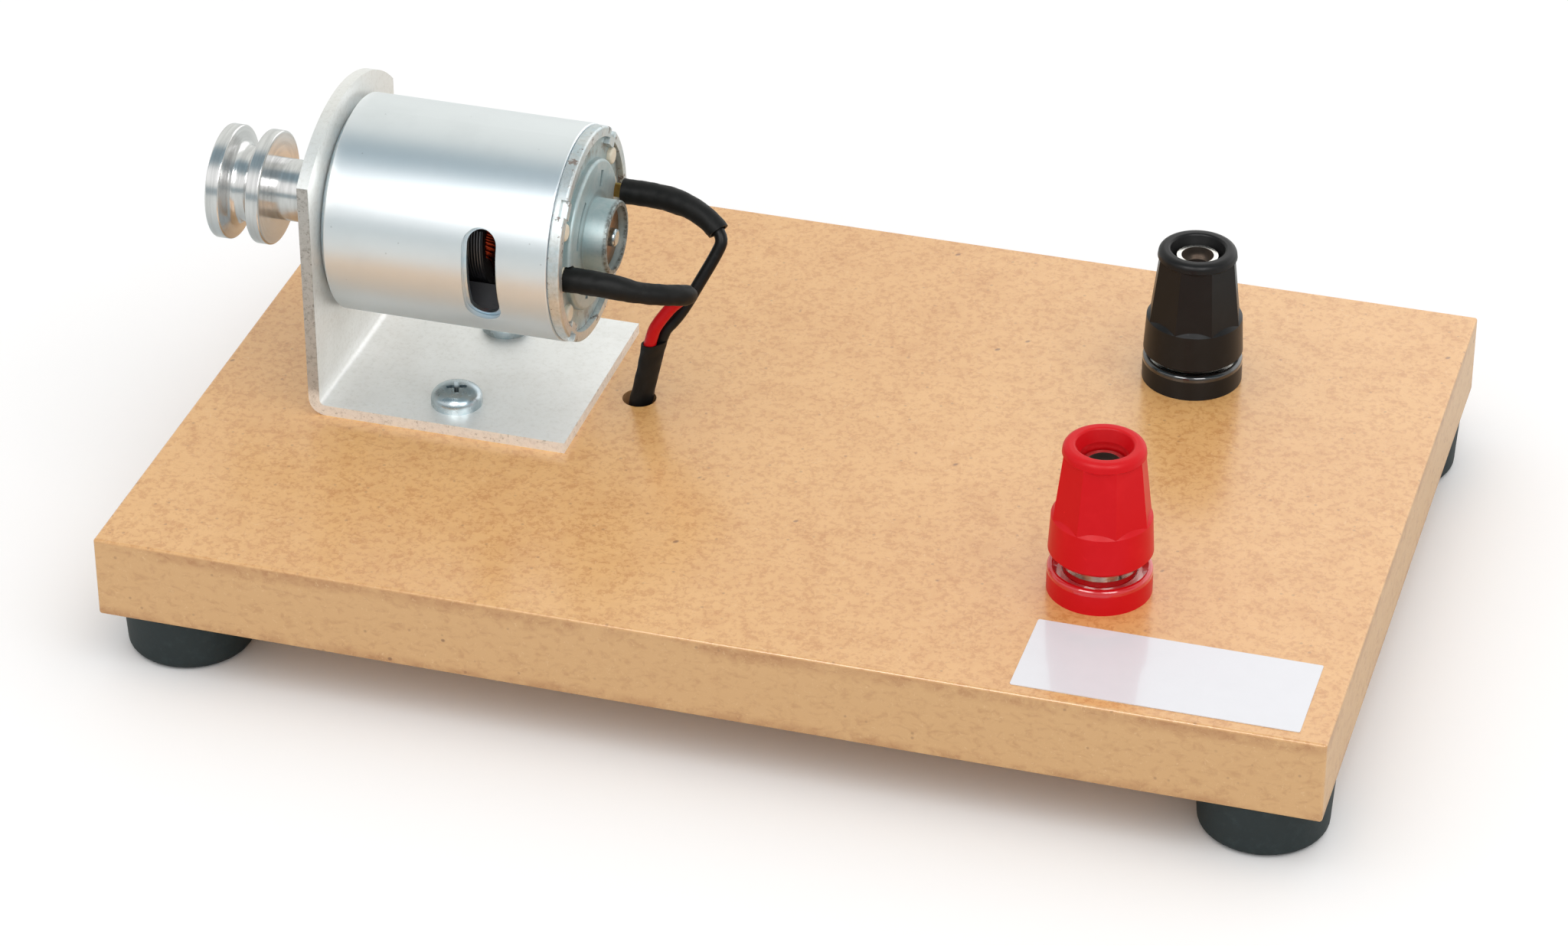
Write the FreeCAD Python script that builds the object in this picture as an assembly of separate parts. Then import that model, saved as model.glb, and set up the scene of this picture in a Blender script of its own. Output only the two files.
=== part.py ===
import FreeCAD, Part
import math
import os

from FreeCAD import Vector

# Demonstration electric motor. A small motor hangs on an aluminium angle and is wired through a
# board to two terminal posts. Lengths are in millimetres and angles in degrees.
# The origin is on the floor, in the middle of the footprint. +X runs from the pulley to the
# posts, +Y runs from the front edge to the back edge, and +Z is up.

# Board
BOARD_LENGTH = 210.0
BOARD_WIDTH = 138.0
BOARD_THICKNESS = 15.0
BOARD_EDGE_ROUND = 0.5
WIRE_HOLE_RADIUS = 3.0
WIRE_HOLE_FROM_LEFT = 74.0

# Rubber feet, each held by a screw and a washer in a pocket
FOOT_HEIGHT = 10.0
FOOT_TOP_RADIUS = 11.4
FOOT_BOTTOM_RADIUS = 10.8
FOOT_EDGE_ROUND = 1.5
FOOT_INSET_X = 11.5
FOOT_INSET_Y = 12.0
FOOT_POCKET_RADIUS = 4.8
FOOT_POCKET_DEPTH = 4.8
FOOT_HOLE_RADIUS = 2.2
FOOT_WASHER_RADIUS = 4.3
FOOT_WASHER_THICKNESS = 0.8
FOOT_SCREW_HEAD_RADIUS = 3.4
FOOT_SCREW_HEAD_HEIGHT = 2.2
FOOT_SCREW_RADIUS = 1.75
FOOT_SCREW_LENGTH = 16.0

# Aluminium angle with a round top
BRACKET_SETBACK = 20.4
BRACKET_WIDTH = 42.0
BRACKET_THICKNESS = 2.0
BRACKET_BASE_LENGTH = 46.8
BRACKET_BEND_RADIUS = 1.0
BRACKET_TOP_RADIUS = 29.5
BRACKET_TOP_CENTRE = 24.0
BRACKET_SCREW_FROM_FACE = 24.6
BRACKET_SCREW_SPACING = 26.8
BRACKET_SCREW_HEAD_RADIUS = 4.5
BRACKET_SCREW_HEAD_HEIGHT = 3.2
BRACKET_SCREW_RADIUS = 2.1
BRACKET_SCREW_LENGTH = 12.0
SCREW_HOLE_CLEARANCE = 0.2
PILOT_CLEARANCE = 0.05
SCREW_POINT_LENGTH = 3.0

# Motor, along its own axis from the face that seats on the bracket
AXIS_HEIGHT = 31.7
MOTOR_CLOCK = 3.0
CAN_RADIUS = 17.9
CAN_WALL = 0.9
CAN_LENGTH = 43.8
CAN_FRONT_ROUND = 2.0
BOSS_RADIUS = 6.5
BOSS_LENGTH = 4.7
BOSS_MOUTH_RADIUS = 4.0
BOSS_ROUND = 0.8
BOSS_HOLE_CLEARANCE = 0.2
RIM_BEAD_RADIUS = 18.8
RIM_BEAD_LENGTH = 2.2
RIM_BEAD_ROUND = 0.4
CRIMP_WIDTH = 3.0
CRIMP_DEPTH = 1.1
CRIMP_REACH = 1.2
CAN_VENT_WIDTH = 5.2
CAN_VENT_HEIGHT = 16.9
RING_START = 1.4
RING_CLEARANCE = 0.05
RING_WALL = 1.05
RING_EDGE_ROUND = 0.25
RING_SEAM = 0.4
RING_VENT_WIDTH = 6.4
RING_VENT_HEIGHT = 18.5
VENT_CENTRE = 29.6
MOUNT_SCREW_SPACING = 25.0
MOUNT_SCREW_RADIUS = 1.5
MOUNT_SCREW_HEAD_RADIUS = 2.75
MOUNT_SCREW_HEAD_HEIGHT = 1.8
MOUNT_SCREW_REACH = 1.6

# End bell, pressed from sheet
BELL_SHEET = 1.0
BELL_RECESS = 1.0
BELL_DISC_RADIUS = 13.2
BELL_DISC_HEIGHT = 1.2
BELL_DISC_ROUND = 0.6
BELL_BOSS_LENGTH = 4.1
BELL_BOSS_ROUND = 0.4
BELL_CLEARANCE = 0.05
BELL_SLOT_ANGLE = 60.0
BELL_SLOT_INNER = 8.3
BELL_SLOT_OUTER = 11.2
BELL_SLOT_WIDTH = 1.3
BELL_GROOVE_RADIUS = 9.4
BELL_GROOVE_WIDTH = 0.8
BELL_GROOVE_DEPTH = 0.5
BELL_GROOVE_FIRST = 113.0
BELL_GROOVE_LAST = 166.0

# Shaft and its two bearings
SHAFT_RADIUS = 1.5875
SHAFT_END_ROUND = 0.5
SHAFT_INSIDE_PULLEY = 6.4
RUNNING_CLEARANCE = 0.02
PRESS_CLEARANCE = 0.02
BEARING_RADIUS = 5.6
BEARING_CHAMFER = 0.3
BEARING_LENGTH = 5.0
FRONT_BEARING_SETBACK = 0.9
REAR_BEARING_RECESS = 1.5

# Magnets and the spring that holds them apart
MAGNET_LEAD = 2.0
MAGNET_LENGTH = 24.5
MAGNET_INNER_RADIUS = 11.8
MAGNET_HALF_ANGLE = 55.0
MAGNET_CLEARANCE = 0.05
SPRING_STRIP = 0.7
SPRING_LEG = 4.0
SPRING_INSET = 2.5
SPRING_LENGTH = 16.0
SPRING_GAP_ANGLE = 0.3

# Rotor
POLE_COUNT = 3
AIR_GAP = 0.5
CORE_LENGTH = 19.0
CORE_HUB_RADIUS = 4.0
POLE_WEB = 5.0
POLE_SHOE = 1.6
POLE_GAP_ANGLE = 16.0
COIL_BUILD = 3.1
COIL_OVERHANG = 3.8
COIL_FOOT = 4.7
COIL_SHOE_GAP = 0.4
COIL_ROUND = 2.6
COIL_CLEARANCE = 0.05
COIL_TO_COMMUTATOR = 0.75
SPACER_RADIUS = 2.6
COMMUTATOR_LENGTH = 8.4
COMMUTATOR_RADIUS = 4.2
SEGMENT_THICKNESS = 0.8
SEGMENT_GAP_ANGLE = 8.0
RISER_RADIUS = 5.6
RISER_LENGTH = 1.0
RISER_HALF_ANGLE = 15.0
THRUST_WASHER_RADIUS = 3.4
THRUST_WASHER_THICKNESS = 0.8
END_FLOAT = 0.3

# Brush card, brushes, brush arms and terminals
CARD_THICKNESS = 2.5
CARD_INNER_RADIUS = 6.5
CARD_CLEARANCE = 0.2
PIN_RADIUS = 1.55
PIN_CIRCLE_RADIUS = 15.2
PIN_ANGLE = 32.5
PIN_STAND = 0.9
PIN_ROUND = 0.5
TERMINAL_ANGLE = 4.5
TERMINAL_RADIUS = 13.2
TERMINAL_WIDTH = 2.8
TERMINAL_THICKNESS = 0.5
TERMINAL_LENGTH = 12.3
TERMINAL_BOSS_RADIUS = 2.4
TERMINAL_BOSS_PROUD = 0.2
TERMINAL_CLEARANCE = 0.05
BRUSH_GAP = 0.15
BRUSH_DEPTH = 2.4
BRUSH_WIDTH = 3.0
BRUSH_LENGTH = 4.0
ARM_STRIP = 0.35
ARM_WIDTH = 3.6
ARM_TOP = 7.2
ARM_BEND_RADIUS = 2.4

# Pulley
HUB_GAP = 1.0
HUB_RADIUS = 5.45
HUB_LENGTH = 8.3
PULLEY_RADIUS = 10.1
PULLEY_WIDTH = 10.0
PULLEY_EDGE_ROUND = 0.35
GROOVE_WIDTH = 5.0
GROOVE_DEPTH = 3.4
GROOVE_FLOOR = 3.4
GROOVE_ROUND = 1.4
GRUB_RADIUS = 1.5
GRUB_RECESS = 0.4
GRUB_SOCKET_ACROSS = 1.5
GRUB_SOCKET_DEPTH = 1.4

# Terminal posts
POST_FROM_RIGHT = 45.0
POST_SPACING = 70.0
POST_HOLE_RADIUS = 4.1
COLLAR_RADIUS = 8.8
COLLAR_HEIGHT = 4.7
COLLAR_ROUND = 0.7
COLLAR_LIP = 0.8
COLLAR_DISH = 0.7
SPIGOT_LENGTH = 5.0
SPIGOT_CLEARANCE = 0.1
FLANGE_RADIUS = 6.3
FLANGE_THICKNESS = 1.2
FLANGE_SINK = 0.9
FLANGE_CLEARANCE = 0.1
STEM_RADIUS = 3.6
STEM_TOP = 24.4
STEM_THREAD_RADIUS = 3.0
STEM_THREAD_CLEARANCE = 0.15
STEM_TAIL = 7.5
SOCKET_RADIUS = 2.05
SOCKET_DEPTH = 16.0
SOCKET_MOUTH_RADIUS = 2.8
SOCKET_MOUTH_DEPTH = 2.0
CROSS_HOLE_RADIUS = 1.0
CROSS_HOLE_HEIGHT = 6.8
INSULATOR_RADIUS = 8.0
INSULATOR_THICKNESS = 2.0
TAG_THICKNESS = 0.8
TAG_RING_RADIUS = 5.4
TAG_REACH = 11.0
TAG_WIDTH = 4.0
LOCK_WASHER_RADIUS = 5.0
LOCK_WASHER_THICKNESS = 0.8
LOCK_WASHER_SPLIT = 0.8
NUT_ACROSS = 10.0
NUT_HEIGHT = 3.2

# Screw caps of the posts
CAP_LENGTH = 20.8
CAP_FOOT_RADIUS = 8.75
CAP_FOOT_CHAMFER = 0.8
CAP_SKIRT_HEIGHT = 7.2
CAP_SKIRT_RADIUS = 8.4
CAP_SHOULDER = 0.7
CAP_RIM_HEIGHT = 1.6
CAP_RIM_RADIUS = 6.95
CAP_TOP_RADIUS = 6.75
CAP_TOP_ROUND = 1.1
CAP_FACETS = 8
CAP_BORE_RADIUS = 4.0
CAP_MOUTH_RADIUS = 4.85
CAP_MOUTH_DEPTH = 2.2
CAP_MOUTH_ROUND = 0.5
CAP_SEAT_GAP = 0.1
INSERT_RADIUS = 5.6
INSERT_HEIGHT = 7.0
INSERT_CLEARANCE = 0.05
THREAD_CLEARANCE = 0.05
BLACK_CAP_LIFT = 0.0
BLACK_CAP_TURN = 11.0
RED_CAP_LIFT = 2.0
RED_CAP_TURN = 6.6

# Leads, their sleeves and staples
LEAD_RADIUS = 1.1
LEAD_SPACING = 2.25
LEAD_PAIR_ANGLE = 54.2
LEAD_STRAIGHT = 3.2
LEAD_TAG_RUN = 8.4
SLEEVE_RADIUS = 2.1
SLEEVE_WALL = 0.45
RED_SLEEVE_GAP = 0.1
RED_SLEEVE_END_SHARE = 0.5
BLACK_SLEEVE_GAP = 2.0
BLACK_SLEEVE_END_SHARE = 0.68
LOWER_SLEEVE_LENGTH = 5.2
LOWER_SLEEVE_WIDTH = 3.3
LOWER_SLEEVE_WALL = 0.35
LOWER_SLEEVE_TOP = 12.0
LOWER_SLEEVE_SINK = 1.0
LOWER_SLEEVE_LEAN = 0.215
LOWER_SLEEVE_OFFSET = 0.4
CORD_BEND_SHARE = 0.45
STAPLE_THICKNESS = 0.7
STAPLE_WIDTH = 1.2
STAPLE_CLEARANCE = 0.2
STAPLE_DEPTH = 7.0
STAPLE_HOLE_CLEARANCE = 0.03

CENTRE = Vector(0, 0, 0)
ALONG = Vector(1, 0, 0)
BACK = Vector(0, 1, 0)
UP = Vector(0, 0, 1)
FULL_TURN = 360.0
TOUCHING = 1e-6

# Places that follow from the driving dimensions
UNDER = FOOT_HEIGHT
TOP = FOOT_HEIGHT + BOARD_THICKNESS
PULLEY_END = -(BOSS_LENGTH + HUB_GAP + HUB_LENGTH + PULLEY_WIDTH)
OVERHANG = max(0.0, -PULLEY_END - BRACKET_THICKNESS - BRACKET_SETBACK)
BOARD_LEFT = OVERHANG - (BOARD_LENGTH + OVERHANG) / 2
BOARD_RIGHT = BOARD_LEFT + BOARD_LENGTH
BRACKET_FACE = BOARD_LEFT + BRACKET_SETBACK
SEAT = BRACKET_FACE + BRACKET_THICKNESS
AXIS_Z = TOP + AXIS_HEIGHT
POST_X = BOARD_RIGHT - POST_FROM_RIGHT
WIRE_HOLE = Vector(BOARD_LEFT + WIRE_HOLE_FROM_LEFT, 0, TOP)

# Places along the motor's axis
RING_RADIUS = CAN_RADIUS + RING_CLEARANCE
RING_END = CAN_LENGTH - RIM_BEAD_LENGTH
BELL_FACE = CAN_LENGTH - BELL_RECESS
BELL_BACK = BELL_FACE - BELL_SHEET
DISC_FACE = BELL_FACE + BELL_DISC_HEIGHT
BELL_END = DISC_FACE + BELL_BOSS_LENGTH
REAR_BEARING_END = BELL_END - REAR_BEARING_RECESS
REAR_BEARING_START = REAR_BEARING_END - BEARING_LENGTH
FRONT_BEARING_START = FRONT_BEARING_SETBACK - BOSS_LENGTH
FRONT_BEARING_END = FRONT_BEARING_START + BEARING_LENGTH
FRONT_WASHER_START = FRONT_BEARING_END + END_FLOAT
REAR_WASHER_END = REAR_BEARING_START - END_FLOAT
SHAFT_START = PULLEY_END + PULLEY_WIDTH - SHAFT_INSIDE_PULLEY
COMMUTATOR_END = REAR_WASHER_END - THRUST_WASHER_THICKNESS
COMMUTATOR_START = COMMUTATOR_END - COMMUTATOR_LENGTH
CORE_END = COMMUTATOR_START - COIL_TO_COMMUTATOR - COIL_OVERHANG - COIL_CLEARANCE
CORE_START = CORE_END - CORE_LENGTH
CORE_RADIUS = MAGNET_INNER_RADIUS - AIR_GAP
MAGNET_START = CORE_START - MAGNET_LEAD
SPRING_START = MAGNET_START + SPRING_INSET
CARD_START = BELL_BACK - CARD_THICKNESS
CAN_BORE = CAN_RADIUS - CAN_WALL
TERMINAL_START = CARD_START - ARM_WIDTH
TERMINAL_TIP = TERMINAL_START + TERMINAL_LENGTH
TERMINAL_TURNS = (TERMINAL_ANGLE, TERMINAL_ANGLE + 180)

# Heights in a terminal post, counted from the board's top face
FLANGE_SEAT = COLLAR_HEIGHT - FLANGE_SINK
FLANGE_TOP = FLANGE_SEAT + FLANGE_THICKNESS
CAP_SEAT = FLANGE_TOP + CAP_SEAT_GAP
INSULATOR_FACE = -BOARD_THICKNESS - INSULATOR_THICKNESS
TAG_FACE = INSULATOR_FACE - TAG_THICKNESS
LOCK_WASHER_FACE = TAG_FACE - LOCK_WASHER_THICKNESS


def tangent_arc(before, at, after, radius):
    """Start, middle and end of the arc that rounds the corner `at`."""
    back = (before - at).normalize()
    ahead = (after - at).normalize()
    half = back.getAngle(ahead) / 2
    reach = radius / math.tan(half)
    bulge = radius / math.sin(half) - radius
    middle = at + (back + ahead).normalize() * bulge
    return at + back * reach, middle, at + ahead * reach


def rounded_wire(points, radii, closed=False):
    """Straight runs through the points, joined by tangent arcs of the given radii."""
    last = len(points) - 1
    stops = []
    for index, point in enumerate(points):
        open_end = not closed and index in (0, last)
        if open_end or radii[index] == 0:
            stops.append((point, None, point))
        else:
            after = points[(index + 1) % len(points)]
            stops.append(tangent_arc(points[index - 1], point, after, radii[index]))
    edges = []
    for index, (arrive, middle, leave) in enumerate(stops):
        if middle is not None:
            edges.append(Part.Arc(arrive, middle, leave).toShape())
        following = stops[(index + 1) % len(stops)][0]
        if (closed or index < last) and leave.distanceToPoint(following) > TOUCHING:
            edges.append(Part.LineSegment(leave, following).toShape())
    return Part.Wire(edges)


def flat(corners, right, up, base=CENTRE):
    """Face through the corners (right, up) or (right, up, rounding)."""
    points = [base + right * corner[0] + up * corner[1] for corner in corners]
    radii = [corner[2] if len(corner) > 2 else 0 for corner in corners]
    return Part.Face(rounded_wire(points, radii, closed=True))


def turned(corners, axis=UP):
    """Solid of revolution. Each corner is (along the axis, radius) or also a rounding."""
    side = ALONG if axis == UP else UP
    return flat(corners, axis, side).revolve(CENTRE, axis, FULL_TURN)


def rod(radius, start, end, axis=UP, base=CENTRE):
    return Part.makeCylinder(radius, end - start, base + axis * start, axis)


def ring(outer, inner, start, end, axis=UP):
    return turned([(start, inner), (end, inner), (end, outer), (start, outer)], axis)


def block(low, high):
    """Box between two opposite corners, each given as (x, y, z)."""
    size = Vector(*high) - Vector(*low)
    return Part.makeBox(size.x, size.y, size.z, Vector(*low))


def obround(length, width, right, up, base, depth):
    """Slot with round ends, long along `up`, cut `depth` deep from `base`."""
    half = width / 2
    side = length / 2 - half
    top = up * side
    edges = [
        Part.LineSegment(base + right * half - top, base + right * half + top).toShape(),
        Part.Arc(base + right * half + top, base + up * (side + half), base - right * half + top).toShape(),
        Part.LineSegment(base - right * half + top, base - right * half - top).toShape(),
        Part.Arc(base - right * half - top, base - up * (side + half), base + right * half - top).toShape(),
    ]
    return Part.Face(Part.Wire(edges)).extrude(depth)


def hexagon(across, start, end, axis=UP, base=CENTRE):
    """Six-sided bar about an axis through `base`."""
    first = BACK if axis == UP else UP
    second = axis.cross(first)
    radius = across / 2 / math.cos(math.pi / 6)
    corners = []
    for index in range(6):
        angle = math.radians(60 * index)
        corners.append((radius * math.cos(angle), radius * math.sin(angle)))
    return flat(corners, first, second, base + axis * start).extrude(axis * (end - start))


def moved(shape, offset):
    copy = shape.copy()
    copy.translate(offset)
    return copy


def spun(shape, axis, angle):
    copy = shape.copy()
    copy.rotate(CENTRE, axis, angle)
    return copy


def polar(radius, angle, along=0.0):
    """Point about the motor's axis, with its angle counted from +Y towards +Z."""
    turn = math.radians(angle)
    return Vector(along, radius * math.cos(turn), radius * math.sin(turn))


def ring_sector(inner, outer, first, last, start, end):
    """Part of a ring about the motor's axis, between two angles."""
    middle = (first + last) / 2
    outside = [polar(outer, angle, start) for angle in (first, middle, last)]
    inside = [polar(inner, angle, start) for angle in (last, middle, first)]
    edges = [
        Part.Arc(*outside).toShape(),
        Part.LineSegment(outside[2], inside[0]).toShape(),
        Part.Arc(*inside).toShape(),
        Part.LineSegment(inside[2], outside[0]).toShape(),
    ]
    return Part.Face(Part.Wire(edges)).extrude(ALONG * (end - start))


def in_motor(shape):
    """Moves a piece drawn about the X axis to the motor's place on the bracket."""
    return moved(spun(shape, ALONG, MOTOR_CLOCK), Vector(SEAT, 0, AXIS_Z))


def motor_point(along, radius, angle):
    """Point of the placed motor."""
    return polar(radius, angle + MOTOR_CLOCK, along) + Vector(SEAT, 0, AXIS_Z)


def both_sides(shape):
    """The shape and its copy turned half a turn about the motor's axis."""
    return [shape, spun(shape, ALONG, 180)]


def foot_places():
    across = (BOARD_LEFT + FOOT_INSET_X, BOARD_RIGHT - FOOT_INSET_X)
    deep = (FOOT_INSET_Y - BOARD_WIDTH / 2, BOARD_WIDTH / 2 - FOOT_INSET_Y)
    return [Vector(x, y, 0) for x in across for y in deep]


def bracket_screw_places():
    x = BRACKET_FACE + BRACKET_SCREW_FROM_FACE
    return [Vector(x, side * BRACKET_SCREW_SPACING / 2, TOP + BRACKET_THICKNESS) for side in (-1, 1)]


def mount_screw_places():
    """Centres of the two motor mounting screws on the bracket's outer face."""
    return [motor_point(-BRACKET_THICKNESS, MOUNT_SCREW_SPACING / 2, angle) for angle in (0, 180)]


def post_places():
    """Red post in front, black post at the back, at the board's top face."""
    return {
        "red": Vector(POST_X, -POST_SPACING / 2, TOP),
        "black": Vector(POST_X, POST_SPACING / 2, TOP),
    }


def pan_head_screw(head_radius, head_height, radius, length, pointed):
    """Screw with its head above z = 0, a domed top, a cross recess and a shank below."""
    dome = head_height * 0.45
    tip = min(SCREW_POINT_LENGTH, length / 2) if pointed else 0.0
    body = turned([
        (-length, 0),
        (-length, radius * 0.15 if pointed else radius * 0.8),
        (-length + (tip if pointed else radius * 0.2), radius),
        (0, radius),
        (0, head_radius),
        (head_height - dome, head_radius, head_height * 0.25),
        (head_height, head_radius * 0.55, head_height * 0.5),
        (head_height, 0),
    ])
    wing = head_radius * 0.55
    half = head_radius * 0.11
    depth = head_height * 0.6
    recess = flat([(-wing, head_height), (-half, head_height - depth), (half, head_height - depth),
                   (wing, head_height)], ALONG, UP, BACK * -half).extrude(BACK * (2 * half))
    return body.cut([recess, spun(recess, UP, 90)])


def staple_leg_hole(place, direction, side):
    """Slot in the board's underside that one leg of a staple is driven into."""
    inner = staple_half_width() - STAPLE_HOLE_CLEARANCE
    outer = staple_half_width() + STAPLE_THICKNESS + STAPLE_HOLE_CLEARANCE
    half = STAPLE_WIDTH / 2 + STAPLE_HOLE_CLEARANCE
    across = UP.cross(direction) * side
    base = Vector(place.x, place.y, UNDER)
    outline = [(inner, -half), (outer, -half), (outer, half), (inner, half)]
    slot = flat(outline, across, direction, base)
    return slot.extrude(UP * (STAPLE_DEPTH + STAPLE_HOLE_CLEARANCE))


def baseboard():
    half = BOARD_WIDTH / 2
    board = block((BOARD_LEFT, -half, UNDER), (BOARD_RIGHT, half, TOP))
    board = board.makeFillet(BOARD_EDGE_ROUND, board.Edges)
    holes = [rod(WIRE_HOLE_RADIUS, -BOARD_THICKNESS, 0, UP, WIRE_HOLE)]
    for place in post_places().values():
        holes.append(rod(POST_HOLE_RADIUS, -BOARD_THICKNESS, 0, UP, place))
    foot_depth = FOOT_POCKET_DEPTH - FOOT_WASHER_THICKNESS + FOOT_SCREW_LENGTH
    for place in foot_places():
        holes.append(rod(FOOT_SCREW_RADIUS + PILOT_CLEARANCE, UNDER, foot_depth + PILOT_CLEARANCE, UP, place))
    for place in bracket_screw_places():
        radius = BRACKET_SCREW_RADIUS + PILOT_CLEARANCE
        holes.append(rod(radius, -BRACKET_SCREW_LENGTH - PILOT_CLEARANCE, 0, UP, place))
    for place, direction in staple_places():
        for side in (-1, 1):
            holes.append(staple_leg_hole(place, direction, side))
    return board.cut(holes)


def rubber_feet():
    foot = turned([
        (0, FOOT_POCKET_RADIUS),
        (FOOT_POCKET_DEPTH, FOOT_POCKET_RADIUS),
        (FOOT_POCKET_DEPTH, FOOT_HOLE_RADIUS),
        (FOOT_HEIGHT, FOOT_HOLE_RADIUS),
        (FOOT_HEIGHT, FOOT_TOP_RADIUS),
        (0, FOOT_BOTTOM_RADIUS, FOOT_EDGE_ROUND),
    ])
    return [moved(foot, place) for place in foot_places()]


def foot_washers():
    washer = ring(FOOT_WASHER_RADIUS, FOOT_HOLE_RADIUS, FOOT_POCKET_DEPTH - FOOT_WASHER_THICKNESS,
                  FOOT_POCKET_DEPTH)
    return [moved(washer, place) for place in foot_places()]


def foot_screws():
    screw = pan_head_screw(FOOT_SCREW_HEAD_RADIUS, FOOT_SCREW_HEAD_HEIGHT, FOOT_SCREW_RADIUS,
                           FOOT_SCREW_LENGTH, pointed=True)
    upright = spun(screw, ALONG, 180)
    seat = UP * (FOOT_POCKET_DEPTH - FOOT_WASHER_THICKNESS)
    return [moved(upright, place + seat) for place in foot_places()]


def motor_bracket():
    """Bent angle. The upright plate is trimmed to an arc and carries the motor."""
    half = BRACKET_WIDTH / 2
    outer_bend = BRACKET_BEND_RADIUS + BRACKET_THICKNESS
    plate_top = BRACKET_TOP_CENTRE + BRACKET_TOP_RADIUS
    angle = flat([
        (0, 0, outer_bend),
        (BRACKET_BASE_LENGTH, 0),
        (BRACKET_BASE_LENGTH, BRACKET_THICKNESS),
        (BRACKET_THICKNESS, BRACKET_THICKNESS, BRACKET_BEND_RADIUS),
        (BRACKET_THICKNESS, plate_top),
        (0, plate_top),
    ], ALONG, UP, Vector(BRACKET_FACE, -half, TOP)).extrude(BACK * BRACKET_WIDTH)
    shoulder = BRACKET_TOP_CENTRE + math.sqrt(BRACKET_TOP_RADIUS ** 2 - half ** 2)
    start = Vector(BRACKET_FACE, 0, TOP)
    left = start - BACK * half
    right = start + BACK * half
    front_view = Part.Wire([
        Part.LineSegment(left, right).toShape(),
        Part.LineSegment(right, right + UP * shoulder).toShape(),
        Part.Arc(right + UP * shoulder, start + UP * plate_top, left + UP * shoulder).toShape(),
        Part.LineSegment(left + UP * shoulder, left).toShape(),
    ])
    bracket = angle.common(Part.Face(front_view).extrude(ALONG * BRACKET_BASE_LENGTH))
    axis = Vector(BRACKET_FACE, 0, AXIS_Z)
    holes = [rod(BOSS_RADIUS + BOSS_HOLE_CLEARANCE, 0, BRACKET_THICKNESS, ALONG, axis)]
    for place in mount_screw_places():
        holes.append(rod(MOUNT_SCREW_RADIUS + SCREW_HOLE_CLEARANCE, 0, BRACKET_THICKNESS, ALONG, place))
    for place in bracket_screw_places():
        holes.append(rod(BRACKET_SCREW_RADIUS + SCREW_HOLE_CLEARANCE, -BRACKET_THICKNESS, 0, UP, place))
    return bracket.cut(holes)


def bracket_screws():
    screw = pan_head_screw(BRACKET_SCREW_HEAD_RADIUS, BRACKET_SCREW_HEAD_HEIGHT,
                           BRACKET_SCREW_RADIUS, BRACKET_SCREW_LENGTH, pointed=True)
    turns = (20, 65)
    places = bracket_screw_places()
    return [moved(spun(screw, UP, turn), place) for turn, place in zip(turns, places)]


def motor_mount_screws():
    length = BRACKET_THICKNESS + CAN_WALL + MOUNT_SCREW_REACH
    screw = pan_head_screw(MOUNT_SCREW_HEAD_RADIUS, MOUNT_SCREW_HEAD_HEIGHT, MOUNT_SCREW_RADIUS,
                           length, pointed=False)
    lying = spun(screw, BACK, -90)
    return [moved(lying, place) for place in mount_screw_places()]


def vent_cutters(width, height):
    """Cutters for the two side openings, long round the can."""
    depth = BACK * (CAN_RADIUS + RING_WALL)
    base = ALONG * VENT_CENTRE + BACK * MAGNET_INNER_RADIUS
    return both_sides(obround(height, width, ALONG, UP, base, depth))


def motor_can():
    """Drawn steel can, with the bearing boss in front and a crimped bead behind."""
    can = turned([
        (-BOSS_LENGTH, BOSS_MOUTH_RADIUS),
        (-BOSS_LENGTH, BOSS_RADIUS, BOSS_ROUND),
        (0, BOSS_RADIUS),
        (0, CAN_RADIUS, CAN_FRONT_ROUND),
        (RING_END, CAN_RADIUS),
        (RING_END, RIM_BEAD_RADIUS, RIM_BEAD_ROUND),
        (CAN_LENGTH, RIM_BEAD_RADIUS, RIM_BEAD_ROUND),
        (CAN_LENGTH, CAN_BORE),
        (CAN_WALL, CAN_BORE, CAN_FRONT_ROUND - CAN_WALL),
        (CAN_WALL, BEARING_RADIUS),
        (FRONT_BEARING_START, BEARING_RADIUS),
        (FRONT_BEARING_START, BOSS_MOUTH_RADIUS),
    ], ALONG)
    half = CRIMP_WIDTH / 2
    notch_start = CAN_LENGTH - CRIMP_DEPTH
    notch = block((notch_start, CAN_RADIUS - CAN_WALL / 2, -half), (CAN_LENGTH, RIM_BEAD_RADIUS, half))
    lug = block((BELL_FACE, CAN_BORE - CRIMP_REACH, -half), (CAN_LENGTH, CAN_RADIUS - CAN_WALL / 2, half))
    angles = (45, 135, 225, 315)
    can = can.fuse([spun(lug, ALONG, angle) for angle in angles])
    cutters = [spun(notch, ALONG, angle) for angle in angles]
    cutters += vent_cutters(CAN_VENT_WIDTH, CAN_VENT_HEIGHT)
    for angle in (0, 180):
        cutters.append(rod(MOUNT_SCREW_RADIUS + PILOT_CLEARANCE, 0, CAN_WALL, ALONG,
                           polar(MOUNT_SCREW_SPACING / 2, angle)))
    return in_motor(can.cut(cutters).removeSplitter())


def flux_ring():
    """Rolled steel band with a butt seam below."""
    outer = RING_RADIUS + RING_WALL
    band = turned([
        (RING_START, RING_RADIUS),
        (RING_START, outer, RING_EDGE_ROUND),
        (RING_END, outer, RING_EDGE_ROUND),
        (RING_END, RING_RADIUS),
    ], ALONG)
    half = RING_SEAM / 2
    seam = block((RING_START, -half, -outer), (RING_END, half, -CAN_RADIUS))
    return in_motor(band.cut([seam] + vent_cutters(RING_VENT_WIDTH, RING_VENT_HEIGHT)))


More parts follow.
